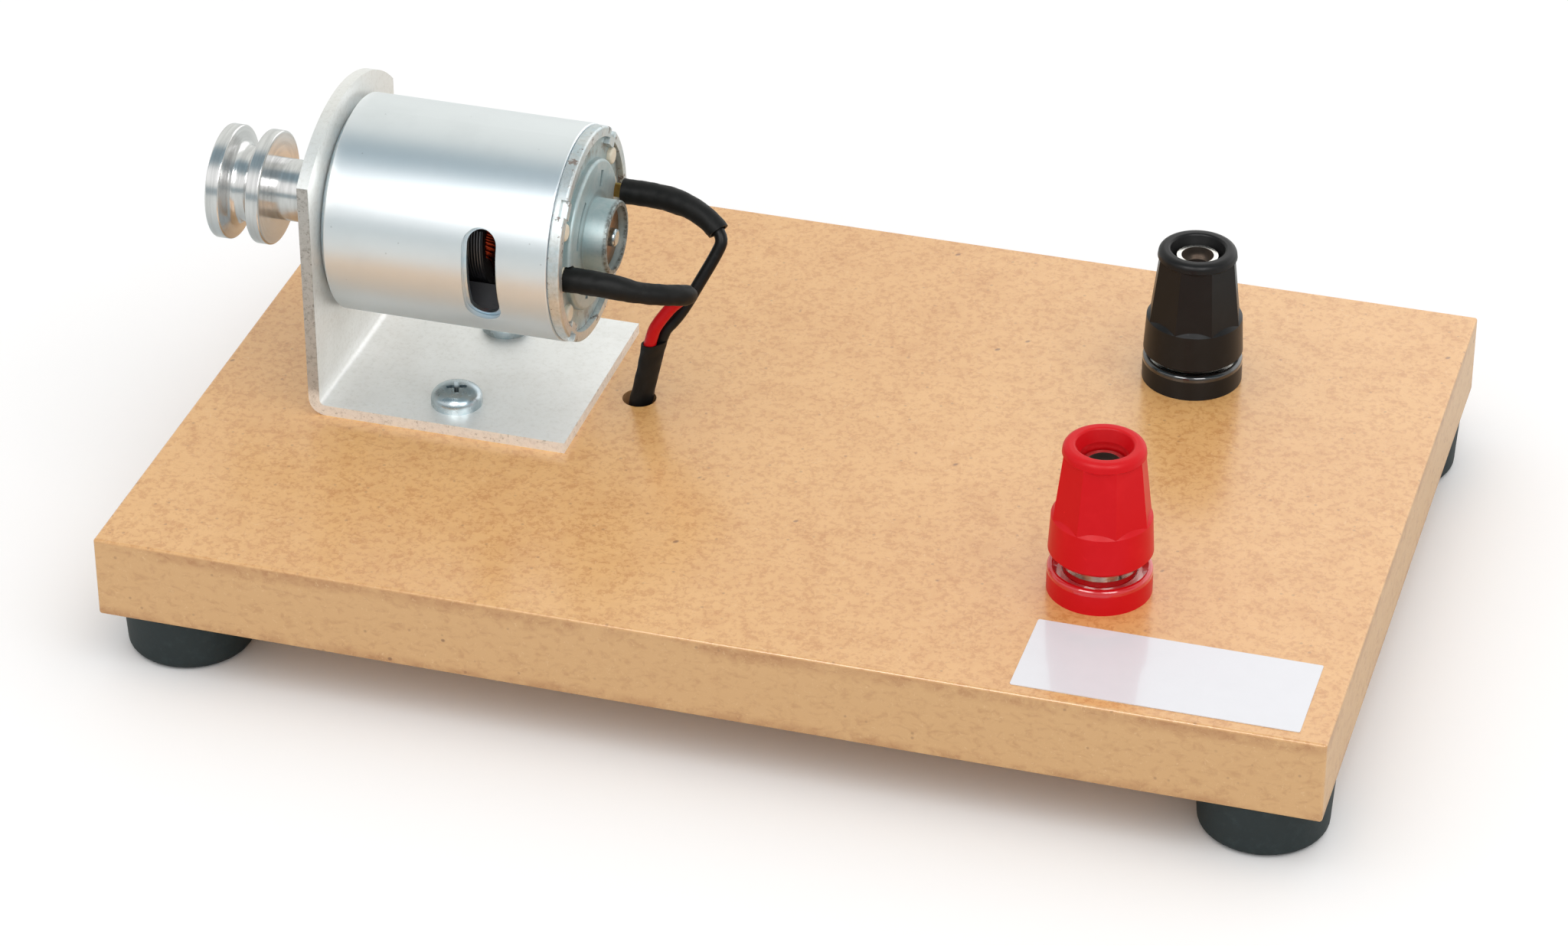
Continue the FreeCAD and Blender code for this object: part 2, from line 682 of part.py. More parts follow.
def bearing(start):
    return turned([
        (start, SHAFT_RADIUS + RUNNING_CLEARANCE),
        (start, BEARING_RADIUS - PRESS_CLEARANCE - BEARING_CHAMFER),
        (start + BEARING_CHAMFER, BEARING_RADIUS - PRESS_CLEARANCE),
        (start + BEARING_LENGTH - BEARING_CHAMFER, BEARING_RADIUS - PRESS_CLEARANCE),
        (start + BEARING_LENGTH, BEARING_RADIUS - PRESS_CLEARANCE - BEARING_CHAMFER),
        (start + BEARING_LENGTH, SHAFT_RADIUS + RUNNING_CLEARANCE),
    ], ALONG)


def pin_angles():
    return (PIN_ANGLE, 180 - PIN_ANGLE, 180 + PIN_ANGLE, -PIN_ANGLE)


def end_bell():
    """Pressed cover with a raised disc, a bearing boss, slots and pin holes."""
    bell = turned([
        (BELL_BACK, BELL_DISC_RADIUS - BELL_SHEET),
        (BELL_BACK, CAN_BORE - BELL_CLEARANCE),
        (BELL_FACE, CAN_BORE - BELL_CLEARANCE),
        (BELL_FACE, BELL_DISC_RADIUS),
        (DISC_FACE, BELL_DISC_RADIUS, BELL_DISC_ROUND),
        (DISC_FACE, BOSS_RADIUS),
        (BELL_END, BOSS_RADIUS, BELL_BOSS_ROUND),
        (BELL_END, BEARING_RADIUS),
        (DISC_FACE - BELL_SHEET, BEARING_RADIUS),
        (DISC_FACE - BELL_SHEET, BELL_DISC_RADIUS - BELL_SHEET),
    ], ALONG)
    cutters = []
    for angle in pin_angles():
        cutters.append(rod(PIN_RADIUS + PRESS_CLEARANCE, BELL_BACK, DISC_FACE, ALONG,
                           polar(PIN_CIRCLE_RADIUS, angle)))
    for angle in TERMINAL_TURNS:
        cutters.append(rod(TERMINAL_BOSS_RADIUS + TERMINAL_CLEARANCE, BELL_BACK, DISC_FACE, ALONG,
                           polar(TERMINAL_RADIUS, angle)))
    half = BELL_SLOT_WIDTH / 2
    slot = block((BELL_BACK, BELL_SLOT_INNER, -half), (DISC_FACE, BELL_SLOT_OUTER, half))
    cutters += both_sides(spun(slot, ALONG, BELL_SLOT_ANGLE))
    inner = BELL_GROOVE_RADIUS - BELL_GROOVE_WIDTH / 2
    groove = ring_sector(inner, inner + BELL_GROOVE_WIDTH, BELL_GROOVE_FIRST, BELL_GROOVE_LAST,
                         DISC_FACE - BELL_GROOVE_DEPTH, DISC_FACE)
    cutters += both_sides(groove)
    return in_motor(bell.cut(cutters))


def magnets():
    outer = CAN_BORE - MAGNET_CLEARANCE
    arc = ring_sector(MAGNET_INNER_RADIUS, outer, 90 - MAGNET_HALF_ANGLE, 90 + MAGNET_HALF_ANGLE,
                      MAGNET_START, MAGNET_START + MAGNET_LENGTH)
    return [in_motor(shape) for shape in both_sides(arc)]


def magnet_spring():
    """Bent strip between the magnets on the far side of the can."""
    outer = CAN_BORE - MAGNET_CLEARANCE
    end = SPRING_START + SPRING_LENGTH
    reach = 90 - MAGNET_HALF_ANGLE - SPRING_GAP_ANGLE
    leg_angle = math.degrees(SPRING_STRIP / outer)
    back = ring_sector(outer - SPRING_STRIP, outer, -reach, reach, SPRING_START, end)
    upper = ring_sector(outer - SPRING_LEG, outer, reach - leg_angle, reach, SPRING_START, end)
    lower = ring_sector(outer - SPRING_LEG, outer, -reach, leg_angle - reach, SPRING_START, end)
    return in_motor(back.fuse([upper, lower]).removeSplitter())


def blade_cutter(start, end):
    half_width = TERMINAL_WIDTH / 2 + TERMINAL_CLEARANCE
    half_depth = TERMINAL_THICKNESS / 2 + TERMINAL_CLEARANCE
    return block((start, TERMINAL_RADIUS - half_depth, -half_width),
                 (end, TERMINAL_RADIUS + half_depth, half_width))


def brush_card():
    """Moulded card. Its pins go through the end bell, and its bosses insulate the terminals."""
    card = ring(CAN_BORE - CARD_CLEARANCE, CARD_INNER_RADIUS, CARD_START, BELL_BACK, ALONG)
    pin = turned([
        (BELL_BACK, 0),
        (BELL_BACK, PIN_RADIUS),
        (BELL_FACE + PIN_STAND, PIN_RADIUS, PIN_ROUND),
        (BELL_FACE + PIN_STAND, 0),
    ], ALONG)
    bosses = [moved(pin, polar(PIN_CIRCLE_RADIUS, angle)) for angle in pin_angles()]
    for angle in TERMINAL_TURNS:
        bosses.append(rod(TERMINAL_BOSS_RADIUS, BELL_BACK, BELL_FACE + TERMINAL_BOSS_PROUD, ALONG,
                          polar(TERMINAL_RADIUS, angle)))
    card = card.fuse(bosses)
    slot = blade_cutter(CARD_START, BELL_FACE + TERMINAL_BOSS_PROUD)
    return in_motor(card.cut([spun(slot, ALONG, angle) for angle in TERMINAL_TURNS]))


def terminals():
    blade = block((TERMINAL_START, TERMINAL_RADIUS - TERMINAL_THICKNESS / 2, -TERMINAL_WIDTH / 2),
                  (TERMINAL_TIP, TERMINAL_RADIUS + TERMINAL_THICKNESS / 2, TERMINAL_WIDTH / 2))
    return [in_motor(spun(blade, ALONG, angle)) for angle in TERMINAL_TURNS]


def brush_centre():
    return TERMINAL_START + ARM_WIDTH / 2


def brushes():
    """Carbon blocks, hollowed to the commutator."""
    face = COMMUTATOR_RADIUS + BRUSH_GAP
    half = BRUSH_LENGTH / 2
    centre = brush_centre() - (BRUSH_LENGTH - ARM_WIDTH) / 2
    brush = block((centre - half, COMMUTATOR_RADIUS / 2, -BRUSH_WIDTH / 2),
                  (centre + half, face + BRUSH_DEPTH, BRUSH_WIDTH / 2))
    brush = brush.cut(rod(face, centre - half, centre + half, ALONG))
    return [in_motor(spun(brush, ALONG, angle)) for angle in TERMINAL_TURNS]


def brush_arms():
    """Hairpin leaf springs, each from a terminal blade round to the back of its brush."""
    near = COMMUTATOR_RADIUS + BRUSH_GAP + BRUSH_DEPTH
    far = TERMINAL_RADIUS + TERMINAL_THICKNESS / 2
    inside = ARM_BEND_RADIUS - ARM_STRIP
    foot = -TERMINAL_WIDTH / 2
    arm = flat([
        (near, -BRUSH_WIDTH / 2),
        (near, ARM_TOP, ARM_BEND_RADIUS),
        (far + ARM_STRIP, ARM_TOP, ARM_BEND_RADIUS),
        (far + ARM_STRIP, foot),
        (far, foot),
        (far, ARM_TOP - ARM_STRIP, inside),
        (near + ARM_STRIP, ARM_TOP - ARM_STRIP, inside),
        (near + ARM_STRIP, -BRUSH_WIDTH / 2),
    ], BACK, UP, ALONG * TERMINAL_START).extrude(ALONG * ARM_WIDTH)
    return [in_motor(spun(arm, ALONG, angle)) for angle in TERMINAL_TURNS]


def shaft():
    body = turned([
        (SHAFT_START, 0),
        (SHAFT_START, SHAFT_RADIUS, SHAFT_END_ROUND),
        (BELL_END, SHAFT_RADIUS, SHAFT_END_ROUND),
        (BELL_END, 0),
    ], ALONG)
    return in_motor(body)


def on_shaft(radius, start, end):
    """Ring that is fixed on the shaft."""
    return ring(radius, SHAFT_RADIUS + PRESS_CLEARANCE, start, end, ALONG)


def pole_angles():
    return [90 + FULL_TURN * index / POLE_COUNT for index in range(POLE_COUNT)]


def armature_core():
    """Lamination stack with one T-shaped pole per winding."""
    shoe_half = FULL_TURN / POLE_COUNT / 2 - POLE_GAP_ANGLE / 2
    hub = rod(CORE_HUB_RADIUS, CORE_START, CORE_END, ALONG)
    poles = []
    for angle in pole_angles():
        web = block((CORE_START, 0, -POLE_WEB / 2), (CORE_END, CORE_RADIUS - POLE_SHOE / 2, POLE_WEB / 2))
        poles.append(spun(web, ALONG, angle))
        poles.append(ring_sector(CORE_RADIUS - POLE_SHOE, CORE_RADIUS, angle - shoe_half,
                                 angle + shoe_half, CORE_START, CORE_END))
    core = hub.fuse(poles).removeSplitter()
    return in_motor(core.cut(rod(SHAFT_RADIUS + PRESS_CLEARANCE, CORE_START, CORE_END, ALONG)))


def armature_windings():
    """One racetrack bundle round each pole's web."""
    inner = POLE_WEB / 2 + COIL_CLEARANCE
    outer = inner + COIL_BUILD
    window = (CORE_START - COIL_CLEARANCE, CORE_END + COIL_CLEARANCE)
    ends = (window[0] - COIL_OVERHANG, window[1] + COIL_OVERHANG)
    height = UP * CORE_RADIUS
    foot = UP * COIL_FOOT
    bundle = flat([
        (ends[0], -outer, COIL_ROUND),
        (ends[1], -outer, COIL_ROUND),
        (ends[1], outer, COIL_ROUND),
        (ends[0], outer, COIL_ROUND),
    ], ALONG, BACK, foot).extrude(height)
    hole = flat([
        (window[0], -inner),
        (window[1], -inner),
        (window[1], inner),
        (window[0], inner),
    ], ALONG, BACK, foot).extrude(height)
    limit = rod(CORE_RADIUS - POLE_SHOE - COIL_SHOE_GAP, ends[0], ends[1], ALONG)
    coil = bundle.cut(hole).common(limit)
    return [in_motor(spun(coil, ALONG, angle - 90)) for angle in pole_angles()]


def commutator_hub():
    bore = SHAFT_RADIUS + PRESS_CLEARANCE
    body = turned([
        (CORE_END, bore),
        (CORE_END, SPACER_RADIUS),
        (COMMUTATOR_START, SPACER_RADIUS),
        (COMMUTATOR_START, COMMUTATOR_RADIUS - SEGMENT_THICKNESS),
        (COMMUTATOR_END, COMMUTATOR_RADIUS - SEGMENT_THICKNESS),
        (COMMUTATOR_END, bore),
    ], ALONG)
    return in_motor(body)


def commutator_segments():
    """Copper segments, each with a riser that its winding is hooked to."""
    half = FULL_TURN / POLE_COUNT / 2 - SEGMENT_GAP_ANGLE / 2
    inner = COMMUTATOR_RADIUS - SEGMENT_THICKNESS + PRESS_CLEARANCE
    segments = []
    for angle in pole_angles():
        segment = ring_sector(inner, COMMUTATOR_RADIUS, angle - half, angle + half,
                              COMMUTATOR_START, COMMUTATOR_END)
        riser = ring_sector(inner, RISER_RADIUS, angle - RISER_HALF_ANGLE, angle + RISER_HALF_ANGLE,
                            COMMUTATOR_START, COMMUTATOR_START + RISER_LENGTH)
        segments.append(in_motor(segment.fuse(riser).removeSplitter()))
    return segments


def thrust_washers():
    front = on_shaft(THRUST_WASHER_RADIUS, FRONT_WASHER_START, FRONT_WASHER_START + THRUST_WASHER_THICKNESS)
    rear = on_shaft(THRUST_WASHER_RADIUS, REAR_WASHER_END - THRUST_WASHER_THICKNESS, REAR_WASHER_END)
    return [in_motor(front), in_motor(rear)]


def rotor_spacer():
    return in_motor(on_shaft(SPACER_RADIUS, FRONT_WASHER_START + THRUST_WASHER_THICKNESS, CORE_START))


def hub_end():
    return -BOSS_LENGTH - HUB_GAP


def grub_place():
    return ALONG * (hub_end() - HUB_LENGTH / 2)


def pulley():
    """Turned pulley with a round belt groove and a hub for the grub screw."""
    rim_end = PULLEY_END + PULLEY_WIDTH
    land = (PULLEY_WIDTH - GROOVE_WIDTH) / 2
    slope = (GROOVE_WIDTH - GROOVE_FLOOR) / 2
    floor = PULLEY_RADIUS - GROOVE_DEPTH
    bore = SHAFT_RADIUS + PRESS_CLEARANCE
    body = turned([
        (PULLEY_END, bore),
        (PULLEY_END, PULLEY_RADIUS, PULLEY_EDGE_ROUND),
        (PULLEY_END + land, PULLEY_RADIUS, PULLEY_EDGE_ROUND),
        (PULLEY_END + land + slope, floor, GROOVE_ROUND),
        (rim_end - land - slope, floor, GROOVE_ROUND),
        (rim_end - land, PULLEY_RADIUS, PULLEY_EDGE_ROUND),
        (rim_end, PULLEY_RADIUS, PULLEY_EDGE_ROUND),
        (rim_end, HUB_RADIUS),
        (hub_end(), HUB_RADIUS, PULLEY_EDGE_ROUND),
        (hub_end(), bore),
    ], ALONG)
    hole = rod(GRUB_RADIUS + PRESS_CLEARANCE, 0, HUB_RADIUS, BACK, grub_place())
    return in_motor(body.cut(hole))


def grub_screw():
    start = SHAFT_RADIUS + PRESS_CLEARANCE
    end = HUB_RADIUS - GRUB_RECESS
    screw = rod(GRUB_RADIUS, start, end, BACK, grub_place())
    socket = hexagon(GRUB_SOCKET_ACROSS, end - GRUB_SOCKET_DEPTH, end, BACK, grub_place())
    return in_motor(screw.cut(socket))


def collar():
    """Upper insulator: dished top with a seat for the stem's flange, and a spigot in the board."""
    bore = STEM_THREAD_RADIUS + STEM_THREAD_CLEARANCE
    seat = FLANGE_RADIUS + FLANGE_CLEARANCE
    spigot = POST_HOLE_RADIUS - SPIGOT_CLEARANCE
    return turned([
        (-SPIGOT_LENGTH, bore),
        (-SPIGOT_LENGTH, spigot),
        (0, spigot),
        (0, COLLAR_RADIUS),
        (COLLAR_HEIGHT, COLLAR_RADIUS, COLLAR_ROUND),
        (COLLAR_HEIGHT, COLLAR_RADIUS - COLLAR_LIP),
        (COLLAR_HEIGHT - COLLAR_DISH, seat),
        (FLANGE_SEAT, seat),
        (FLANGE_SEAT, bore),
    ])


def stem():
    """Plated stem: threaded tail, flange and threaded tube with the plug socket in its top."""
    bottom = -BOARD_THICKNESS - STEM_TAIL
    mouth = STEM_TOP - SOCKET_MOUTH_DEPTH
    body = turned([
        (bottom, 0),
        (bottom, STEM_THREAD_RADIUS, STEM_THREAD_CLEARANCE),
        (FLANGE_SEAT, STEM_THREAD_RADIUS),
        (FLANGE_SEAT, FLANGE_RADIUS),
        (FLANGE_TOP, FLANGE_RADIUS),
        (FLANGE_TOP, STEM_RADIUS),
        (STEM_TOP, STEM_RADIUS),
        (STEM_TOP, SOCKET_MOUTH_RADIUS),
        (mouth, SOCKET_MOUTH_RADIUS),
        (mouth, SOCKET_RADIUS),
        (STEM_TOP - SOCKET_DEPTH, SOCKET_RADIUS),
        (STEM_TOP - SOCKET_DEPTH, 0),
    ])
    cross = rod(CROSS_HOLE_RADIUS, -STEM_RADIUS, STEM_RADIUS, ALONG, UP * CROSS_HOLE_HEIGHT)
    return body.cut(cross)


def lower_insulator():
    bore = STEM_THREAD_RADIUS + STEM_THREAD_CLEARANCE
    return turned([
        (INSULATOR_FACE, bore),
        (INSULATOR_FACE, INSULATOR_RADIUS),
        (-BOARD_THICKNESS, INSULATOR_RADIUS),
        (-BOARD_THICKNESS, POST_HOLE_RADIUS - SPIGOT_CLEARANCE),
        (SPIGOT_LENGTH - BOARD_THICKNESS, POST_HOLE_RADIUS - SPIGOT_CLEARANCE),
        (SPIGOT_LENGTH - BOARD_THICKNESS, bore),
    ])


def solder_tag():
    """Ring tag whose tongue points towards the wire hole."""
    bore = STEM_THREAD_RADIUS + STEM_THREAD_CLEARANCE
    half = TAG_WIDTH / 2
    tongue = block((-TAG_REACH, -half, TAG_FACE), (0, half, INSULATOR_FACE))
    plate = rod(TAG_RING_RADIUS, TAG_FACE, INSULATOR_FACE).fuse(tongue).removeSplitter()
    return plate.cut(rod(bore, TAG_FACE, INSULATOR_FACE))


def lock_washer():
    bore = STEM_THREAD_RADIUS + STEM_THREAD_CLEARANCE
    washer = ring(LOCK_WASHER_RADIUS, bore, LOCK_WASHER_FACE, TAG_FACE)
    half = LOCK_WASHER_SPLIT / 2
    split = block((0, -half, LOCK_WASHER_FACE), (LOCK_WASHER_RADIUS, half, TAG_FACE))
    return washer.cut(split)


def post_nut():
    start = LOCK_WASHER_FACE - NUT_HEIGHT
    bore = STEM_THREAD_RADIUS + PRESS_CLEARANCE
    return hexagon(NUT_ACROSS, start, LOCK_WASHER_FACE).cut(rod(bore, start, LOCK_WASHER_FACE))


def cap_insert():
    """Threaded brass ring in the foot of a cap, drawn from the cap's foot up."""
    return ring(INSERT_RADIUS, STEM_RADIUS + THREAD_CLEARANCE, 0, INSERT_HEIGHT)


def octagon(radius, height):
    """Closed outline of the faceted part, with one facet facing the front."""
    corners = []
    for index in range(CAP_FACETS):
        angle = math.radians((index + 0.5) * FULL_TURN / CAP_FACETS - 90)
        corners.append(Vector(radius * math.cos(angle), radius * math.sin(angle), height))
    return Part.makePolygon(corners + corners[:1])


def screw_cap():
    """Round skirt, facets and a round rim above them, drawn from the cap's foot up."""
    skirt = turned([
        (0, 0),
        (0, CAP_FOOT_RADIUS - CAP_FOOT_CHAMFER),
        (CAP_FOOT_CHAMFER, CAP_FOOT_RADIUS),
        (CAP_SKIRT_HEIGHT, CAP_SKIRT_RADIUS),
        (CAP_SKIRT_HEIGHT + CAP_SHOULDER, CAP_SKIRT_RADIUS - CAP_SHOULDER),
        (CAP_SKIRT_HEIGHT + CAP_SHOULDER, 0),
    ])
    rim_start = CAP_LENGTH - CAP_RIM_HEIGHT
    facets = Part.makeLoft([octagon(CAP_SKIRT_RADIUS, CAP_SKIRT_HEIGHT), octagon(CAP_RIM_RADIUS, rim_start)],
                           True, True)
    rim = turned([
        (rim_start - CAP_SHOULDER, 0),
        (rim_start - CAP_SHOULDER, CAP_RIM_RADIUS - CAP_SHOULDER),
        (rim_start, CAP_RIM_RADIUS),
        (CAP_LENGTH, CAP_TOP_RADIUS, CAP_TOP_ROUND),
        (CAP_LENGTH, 0),
    ])
    body = skirt.fuse([facets, rim]).removeSplitter()
    above = CAP_LENGTH + CAP_MOUTH_DEPTH
    passage = turned([
        (0, 0),
        (0, INSERT_RADIUS + INSERT_CLEARANCE),
        (INSERT_HEIGHT + INSERT_CLEARANCE, INSERT_RADIUS + INSERT_CLEARANCE),
        (INSERT_HEIGHT + INSERT_CLEARANCE, CAP_BORE_RADIUS),
        (CAP_LENGTH - CAP_MOUTH_DEPTH, CAP_BORE_RADIUS),
        (CAP_LENGTH, CAP_MOUTH_RADIUS, CAP_MOUTH_ROUND),
        (CAP_LENGTH, CAP_RIM_RADIUS),
        (above, CAP_RIM_RADIUS),
        (above, 0),
    ])
    return body.cut(passage)


# Routes of the leads. The first points are counted from the terminal's tip and the others from
# the wire hole's centre on the board's top face. Both leads lie side by side in the lower sleeve.
PAIR = Vector(math.cos(math.radians(LEAD_PAIR_ANGLE)), math.sin(math.radians(LEAD_PAIR_ANGLE)), 0)
RED_AWAY = [Vector(7.4, 1.9, -1.8), Vector(11.6, 4.9, -3.2), Vector(14.2, 8.3, -4.7)]
BLACK_AWAY = [Vector(7.0, -0.7, -0.1), Vector(11.6, -1.9, -0.9), Vector(16.6, -3.9, -3.8)]
RED_DROP = [Vector(10.0, -0.6, 22.9), Vector(6.7, 0.4, 20.3), Vector(4.0, -0.9, 16.6)]
BLACK_DROP = [Vector(11.8, 7.6, 26.4), Vector(9.4, 5.2, 21.7), Vector(7.7, 3.2, 18.2),
              Vector(5.9, 2.1, 15.4)]
RED_SLEEVE_ENTRY = 14.0
BLACK_SLEEVE_ENTRY = 13.4
SLEEVE_EXIT = -5.0
RED_TURN = -19.2
BLACK_TURN = -17.7
RED_UNDER = [Vector(7.0, -2.0, -18.3), Vector(21.0, -5.5, -16.5), Vector(43.0, -16.5, -16.35),
             Vector(61.0, -28.8, -16.35)]
BLACK_UNDER = [Vector(8.3, 2.2, -17.2), Vector(22.0, 5.7, -16.4), Vector(44.0, 16.5, -16.35),
               Vector(62.0, 28.8, -16.35)]


def tag_tip(colour):
    middle = (INSULATOR_FACE + TAG_FACE) / 2
    return post_places()[colour] + Vector(-TAG_REACH, 0, middle)


def between_leads(height):
    """Point midway between the leads in the lower sleeve, at a height over the board."""
    return WIRE_HOLE + Vector(LOWER_SLEEVE_OFFSET + LOWER_SLEEVE_LEAN * height, 0, height)


def lead_route(colour):
    """Points of one lead, from its terminal down through the board to its solder tag."""
    red = colour == "red"
    away = RED_AWAY if red else BLACK_AWAY
    drop = RED_DROP if red else BLACK_DROP
    under = RED_UNDER if red else BLACK_UNDER
    entry = RED_SLEEVE_ENTRY if red else BLACK_SLEEVE_ENTRY
    side = PAIR * (-LEAD_SPACING / 2 if red else LEAD_SPACING / 2)
    start = motor_point(TERMINAL_TIP, TERMINAL_RADIUS, TERMINAL_TURNS[1 if red else 0])
    leaves = between_leads(SLEEVE_EXIT) + side
    below = Vector(leaves.x, leaves.y, TOP + (RED_TURN if red else BLACK_TURN))
    tip = tag_tip(colour)
    points = [start, start + ALONG * LEAD_STRAIGHT]
    points += [start + point for point in away]
    points += [WIRE_HOLE + point for point in drop]
    points += [between_leads(entry) + side, leaves, below]
    points += [WIRE_HOLE + point for point in under]
    return points + [tip - ALONG * LEAD_TAG_RUN, tip]


def bend_radii(points):
    """Radius at each point, as large as the shorter of its two runs allows."""
    radii = [0]
    for before, at, after in zip(points, points[1:], points[2:]):
        shorter = min(before.distanceToPoint(at), at.distanceToPoint(after))
        half = (before - at).getAngle(after - at) / 2
        radii.append(CORD_BEND_SHARE * shorter * math.tan(half))
    return radii + [0]


def swept(outline, wire):
    return wire.makePipeShell([outline], True, False)


def round_tube(wire, radius):
    start = wire.OrderedVertexes[0].Point
    ahead = wire.OrderedEdges[0].tangentAt(wire.OrderedEdges[0].FirstParameter)
    return swept(Part.Wire(Part.makeCircle(radius, start, ahead)), wire)


def lead(colour):
    points = lead_route(colour)
    radii = bend_radii(points)
    wire = rounded_wire(points, radii)
    tube = round_tube(wire, LEAD_RADIUS)
    section = math.pi * LEAD_RADIUS ** 2
    print(colour, "lead radii", [round(radius, 1) for radius in radii[1:-1]])
    print(colour, "lead runs", [round(a.distanceToPoint(b), 1) for a, b in zip(points, points[1:])])
    print(colour, "lead volume share", round(tube.Volume / (section * wire.Length), 4))
    return tube


def terminal_sleeve(colour, gap, bends, end_share):
    """Shrunk sleeve that covers a terminal and the first bends of its lead."""
    points = lead_route(colour)
    radii = bend_radii(points)
    start = motor_point(BELL_FACE + TERMINAL_BOSS_PROUD + gap, TERMINAL_RADIUS,
                        TERMINAL_TURNS[1 if colour == "red" else 0])
    end = points[bends] + (points[bends + 1] - points[bends]) * end_share
    wire = rounded_wire([start] + points[1:bends + 1] + [end], radii[:bends + 1] + [0])
    return round_tube(wire, SLEEVE_RADIUS).cut(round_tube(wire, SLEEVE_RADIUS - SLEEVE_WALL))


def oval(length, width, centre):
    """Outline with round ends, long in the direction in which the leads lie side by side."""
    half = width / 2
    side = PAIR * (length / 2 - half)
    across = UP.cross(PAIR) * half
    tip = PAIR * (length / 2)
    return Part.Wire([
        Part.LineSegment(centre - side - across, centre + side - across).toShape(),
        Part.Arc(centre + side - across, centre + tip, centre + side + across).toShape(),
        Part.LineSegment(centre + side + across, centre - side + across).toShape(),
        Part.Arc(centre - side + across, centre - tip, centre - side - across).toShape(),
    ])


def lower_sleeve():
    """Oval sleeve that holds both leads where they enter the board."""
    top = between_leads(LOWER_SLEEVE_TOP)
    bottom = between_leads(-LOWER_SLEEVE_SINK)
    outer = oval(LOWER_SLEEVE_LENGTH, LOWER_SLEEVE_WIDTH, bottom)
    inner = oval(LOWER_SLEEVE_LENGTH - 2 * LOWER_SLEEVE_WALL, LOWER_SLEEVE_WIDTH - 2 * LOWER_SLEEVE_WALL,
                 bottom)
    return Part.Face(outer).extrude(top - bottom).cut(Part.Face(inner).extrude(top - bottom))


def staple_half_width():
    """Half of the room between a staple's legs."""
    return LEAD_RADIUS + STAPLE_CLEARANCE


def staple_places():
    """Middle and direction of the lead's runs that a staple holds."""
    places = []
    for colour in ("red", "black"):
        points = lead_route(colour)
        for before, after in ((points[-5], points[-4]), (points[-4], points[-3])):
            direction = after - before
            direction.z = 0
            places.append(((before + after) / 2, direction.normalize()))
    return places


def lead_staples():
    """Staples of flat wire over the leads on the underside of the board."""
    staples = []
    inner = staple_half_width()
    outer = inner + STAPLE_THICKNESS
    for place, direction in staple_places():
        crown = -inner
        legs = UNDER + STAPLE_DEPTH - place.z
        outline = [(-outer, crown - STAPLE_THICKNESS), (outer, crown - STAPLE_THICKNESS), (outer, legs),
                   (inner, legs), (inner, crown), (-inner, crown), (-inner, legs), (-outer, legs)]
        base = place - direction * (STAPLE_WIDTH / 2)
        bent = flat(outline, UP.cross(direction), UP, base)
        staples.append(bent.extrude(direction * STAPLE_WIDTH))
    return staples


def post_pieces(colour, cap_lift, cap_turn):
    """All pieces of one terminal post, with their node names."""
    place = post_places()[colour]
    foot = place + UP * (CAP_SEAT + cap_lift)
    return {
        colour + "_collar": moved(collar(), place),
        colour + "_stem": moved(stem(), place),
        colour + "_lower_insulator": moved(lower_insulator(), place),
        colour + "_solder_tag": moved(solder_tag(), place),
        colour + "_lock_washer": moved(lock_washer(), place),
        colour + "_nut": moved(post_nut(), place),
        colour + "_cap_insert": moved(cap_insert(), foot),
        colour + "_cap": moved(spun(screw_cap(), UP, cap_turn), foot),
    }


def all_pieces():
    pieces = {
        "baseboard": baseboard(),
        "rubber_feet": rubber_feet(),
        "foot_washers": foot_washers(),
        "foot_screws": foot_screws(),
        "motor_bracket": motor_bracket(),
        "bracket_screws": bracket_screws(),
        "motor_mount_screws": motor_mount_screws(),
        "motor_can": motor_can(),
        "flux_ring": flux_ring(),
        "front_bearing": in_motor(bearing(FRONT_BEARING_START)),
        "rear_bearing": in_motor(bearing(REAR_BEARING_START)),
        "end_bell": end_bell(),
        "magnets": magnets(),
        "magnet_spring": magnet_spring(),
        "brush_card": brush_card(),
        "brushes": brushes(),
        "brush_arms": brush_arms(),
        "terminals": terminals(),
        "shaft": shaft(),
        "armature_core": armature_core(),
        "armature_windings": armature_windings(),
        "commutator_hub": commutator_hub(),
        "commutator_segments": commutator_segments(),
        "thrust_washers": thrust_washers(),
        "rotor_spacer": rotor_spacer(),
        "pulley": pulley(),
        "grub_screw": grub_screw(),
        "red_lead": lead("red"),
        "black_lead": lead("black"),
        "red_terminal_sleeve": terminal_sleeve("red", RED_SLEEVE_GAP, 4, RED_SLEEVE_END_SHARE),
        "black_terminal_sleeve": terminal_sleeve("black", BLACK_SLEEVE_GAP, 3, BLACK_SLEEVE_END_SHARE),
        "lower_sleeve": lower_sleeve(),
        "lead_staples": lead_staples(),
    }
    pieces.update(post_pieces("red", RED_CAP_LIFT, RED_CAP_TURN))
    pieces.update(post_pieces("black", BLACK_CAP_LIFT, BLACK_CAP_TURN))
    return pieces


os.makedirs("parts", exist_ok=True)
for name, piece in all_pieces().items():
    shape = Part.makeCompound(piece) if isinstance(piece, list) else piece
    shape.exportStep("parts/" + name + ".step")
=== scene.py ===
"""Demonstration electric motor: finishes, fine pieces and stage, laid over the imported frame."""

import math

import bmesh
import bpy
from bpy.props import FloatProperty, FloatVectorProperty, PointerProperty
from mathutils import Matrix, Vector, noise


